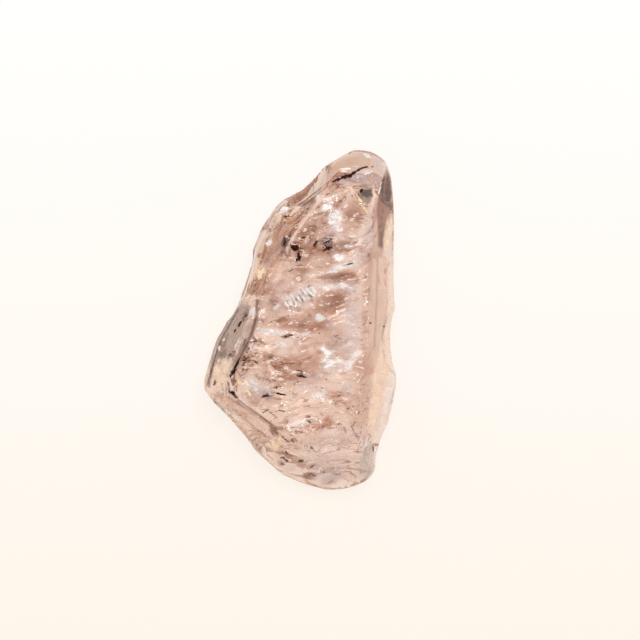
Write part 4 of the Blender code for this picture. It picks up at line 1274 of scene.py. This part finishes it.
# Brown seams: iron stain in short cracks that reach the front, and painted shade between the first tears of
# the fan. They are crusts like the feathers, dull and uneven
SEAMS = (
    ((-7.95, -5.85), (0.28, 0.1), 62, 0.85),
    ((-6.5, -3.2), (0.14, 0.12), 60, 0.9),
    ((-5.35, -2.6), (1.3, 0.11), 64, 0.6),
    ((-8.15, -4.6), (0.8, 0.07), 78, 0.6),
    ((-1.4, -13.0), (0.45, 0.1), -38, 0.8),
    ((0.1, -13.2), (0.25, 0.12), 15, 0.75),
    ((0.2, -12.7), (0.16, 0.12), 40, 0.75),
    ((1.1, -11.8), (0.2, 0.08), -60, 0.75),
    ((0.9, -9.4), (0.2, 0.1), -50, 0.8),
    ((1.0, -14.5), (0.4, 0.14), -10, 0.75),
    ((6.85, -12.1), (0.4, 0.09), -84, 0.9),
    ((7.7, 12.4), (0.8, 0.12), 86, 0.9),
    ((-0.6, -5.7), (0.5, 0.06), 10, 0.7),
    ((-2.1, -6.2), (0.5, 0.06), 6, 0.7),
    ((1.6, -8.0), (0.4, 0.08), -35, 0.6),
    ((0.8, -8.9), (0.35, 0.12), 60, 0.55),
    ((-1.6, -8.4), (0.5, 0.06), -12, 0.6),
    ((2.0, -6.2), (0.5, 0.05), -8, 0.6),
    ((-3.6, -2.2), (0.6, 0.07), -24, 0.65),
    ((-2.6, -0.2), (0.4, 0.1), 20, 0.5),
    ((-4.0, -3.9), (0.45, 0.12), -25, 0.6),
    ((-1.4, -11.0), (0.5, 0.06), -40, 0.65),
    ((-2.9, -9.5), (0.4, 0.06), -36, 0.6),
    ((-1.2, -12.4), (0.3, 0.07), -38, 0.7),
    ((4.1, -12.4), (0.4, 0.06), 35, 0.55),
    ((1.0, -13.7), (0.35, 0.1), 20, 0.6),
    ((2.3, -1.0), (0.4, 0.06), 20, 0.55),
    ((-1.1, 0.4), (0.4, 0.07), 10, 0.6),
)
# The fan's gaps are painted shade between its glinting tears
FAN_GAPS = 6
shaded_gaps = fan(FAN_GAPS, shift=(0.2, 0.08), longest=0.5, shorter=0, width=0.045, whole=0.75)
strokes = strewn(80, longest=0.34, widest=0.05, seed=13, drift_seed=95)
seams_and_shade = crust("brown_seams_and_shade", SEAMS + shaded_gaps + strokes, seed=4000)
rust_and_shade = plain_material("stained_crack_and_shade", (0.30, 0.16, 0.11), 0.45, shine=0.3, mottle=0.4)
seams_and_shade.data.materials.append(rust_and_shade)


# Dark specks and the crack across the narrow end: iron oxide, nearly black, in pits and cracks that reach
# the front. They are crusts like the feathers, a little thicker
DARK_SPECKS = (
    ((3.3, 12.92), (0.36, 0.07), 24, 1.1, 84),
    ((3.75, 13.12), (0.34, 0.12), 24, 1.05, 84),
    ((4.2, 13.3), (0.36, 0.15), 20, 1.05, 80),
    ((4.62, 13.42), (0.24, 0.2), 50, 1.0, 80),
    ((4.95, 13.65), (0.38, 0.11), 32, 1.05, 90),
    ((5.45, 13.98), (0.4, 0.09), 30, 1.05, 90),
    ((5.95, 14.2), (0.36, 0.07), 14, 1.1, 74),
    ((6.45, 14.3), (0.34, 0.045), 2, 1.1, 62),
    ((-1.2, 7.45), (0.55, 0.3), 40, 0.62, 70),
    ((-0.4, 6.75), (0.5, 0.4), -45, 0.66),
    ((-0.1, 5.65), (0.26, 0.24), 50, 0.9),
    ((1.45, 7.0), (0.36, 0.1), 62, 1.0),
    ((2.6, 7.3), (0.42, 0.24), 5, 0.66),
    ((2.55, 6.7), (0.4, 0.22), 20, 0.74),
    ((0.3, 7.6), (0.36, 0.09), 0, 0.66),
    ((-1.35, 9.65), (0.2, 0.12), 0, 0.7),
    ((4.7, 5.2), (0.3, 0.08), 20, 0.78),
    ((-1.05, -1.5), (0.4, 0.12), 8, 0.75),
    ((-0.5, -1.6), (0.4, 0.08), 8, 0.7),
    ((0.0, -4.7), (0.45, 0.06), -8, 0.8),
    ((0.15, -5.2), (0.4, 0.09), -8, 0.85),
    ((-2.85, -5.65), (0.24, 0.08), -22, 0.85),
    ((-3.05, -7.0), (0.36, 0.17), 15, 0.75),
    ((-2.0, -6.75), (0.6, 0.07), -14, 0.95),
    ((-6.2, -6.75), (0.4, 0.1), -45, 0.8),
    ((-5.0, 0.2), (0.5, 0.2), 58, 0.6),
    ((-6.2, -4.9), (0.45, 0.16), 58, 0.85),
    ((-5.5, -0.35), (0.4, 0.12), 66, 0.62),
    ((-6.0, -1.0), (0.35, 0.1), 66, 0.58),
    ((-5.2, -1.9), (0.3, 0.07), 62, 0.55),
    ((6.5, -0.3), (0.08, 0.08), 0, 1.0),
    ((7.8, -0.6), (0.08, 0.08), 0, 0.9),
    ((6.0, -3.4), (0.08, 0.08), 0, 0.9),
    ((-5.96, -4.35), (0.8, 0.1), 61, 0.95),
    ((-6.22, -6.92), (0.5, 0.07), -41, 0.95),
    ((5.75, 11.95), (0.26, 0.16), 50, 0.6),
    ((6.35, 11.4), (0.4, 0.1), 5, 0.6),
)
SPECK_LAYERS = (-0.03, 0.05)
strokes = strewn(40, longest=0.26, widest=0.05, seed=9, drift_seed=91)
specks = crust("dark_specks", DARK_SPECKS + strokes, seed=6000, layers=SPECK_LAYERS)
specks.data.materials.append(plain_material("iron_dark", (0.075, 0.02, 0.01), 0.6, shine=0.06, mottle=0.3))


# The pale floor that the stone lies on: paper that gives light of its own, a little creamier
# towards the stone's foot. Metres from here on
FLOOR_SIDE = 1.2
FLOOR_DROP = 0.00005
FLOOR_CREAMS = ((1.0, 0.90, 0.80), (1.0, 0.985, 0.97))
CREAM_REACH = 0.03
bpy.ops.mesh.primitive_plane_add(size=FLOOR_SIDE, location=(0, 0, -FLOOR_DROP))
floor = bpy.context.object
floor.name = "floor"
paper, tree, shader = new_material("cream_paper")
along = feed(tree, "SeparateXYZ", "Y", {"Vector": feed(tree, "TexCoord", "Object")})
span = {"Value": along, "From Min": -CREAM_REACH, "From Max": CREAM_REACH}
cream = colour_ramp(tree, feed(tree, "MapRange", "Result", span), FLOOR_CREAMS)
set_inputs(shader, {"Base Color": (0.14, 0.133, 0.127, 1), "Roughness": 0.9})
set_inputs(shader, {"Emission Color": cream, "Emission Strength": 0.885})
floor.data.materials.append(paper)

# The room, dim near the floor and bright overhead
world = bpy.data.worlds.new("studio")
bpy.context.scene.world = world
world.use_nodes = True
room = world.node_tree
rise = feed(room, "SeparateXYZ", "Z", {"Vector": feed(room, "TexCoord", "Generated")})
glow = feed(room, "MapRange", "Result", {"Value": rise, "To Min": 0.2, "To Max": 0.68})
set_inputs(room.nodes["Background"], {"Color": (1.0, 0.99, 0.98, 1), "Strength": glow})

# The softboxes, aimed at the middle of the stone: place, side and power
SOFTBOXES = {
    "key": ((0.03, 0.14, 0.53), 0.20, 0.9),
    "spark": ((0.14, 0.20, 0.45), 0.04, 0.26),
}
STONE_MIDDLE = Vector((0, 0, 0.005))
for name, (place, side, power) in SOFTBOXES.items():
    lamp = bpy.data.lights.new(name, "AREA")
    lamp.size = side
    lamp.energy = power
    box = bpy.data.objects.new(name, lamp)
    box.location = place
    box.rotation_euler = (STONE_MIDDLE - box.location).to_track_quat("-Z", "Y").to_euler()
    bpy.context.scene.collection.objects.link(box)

# The camera looks straight down. Its view is as wide as the photograph at the height of the stone's outline
PHOTO_SIDE = 640
MM_PER_PIXEL = 32.0 / 342
PIXELS_ASIDE = 20.0
CAMERA_HEIGHT = 0.36
OUTLINE_HEIGHT = 0.0047
camera_data = bpy.data.cameras.new("camera")
camera = bpy.data.objects.new("camera", camera_data)
bpy.context.scene.collection.objects.link(camera)
frame_width = PHOTO_SIDE * MM_PER_PIXEL * MM
camera.location = (PIXELS_ASIDE * MM_PER_PIXEL * MM, 0.0, CAMERA_HEIGHT)
camera_data.lens = camera_data.sensor_width * (CAMERA_HEIGHT - OUTLINE_HEIGHT) / frame_width
camera_data.clip_start = 0.01
bpy.context.scene.camera = camera
bpy.context.scene.view_settings.view_transform = "Standard"

# Light in a crystal is thrown from side to side many times before it comes out
INNER_REFLECTIONS = 24
cycles = bpy.context.scene.cycles
cycles.max_bounces = INNER_REFLECTIONS
cycles.glossy_bounces = INNER_REFLECTIONS
cycles.transmission_bounces = INNER_REFLECTIONS
cycles.transparent_max_bounces = INNER_REFLECTIONS
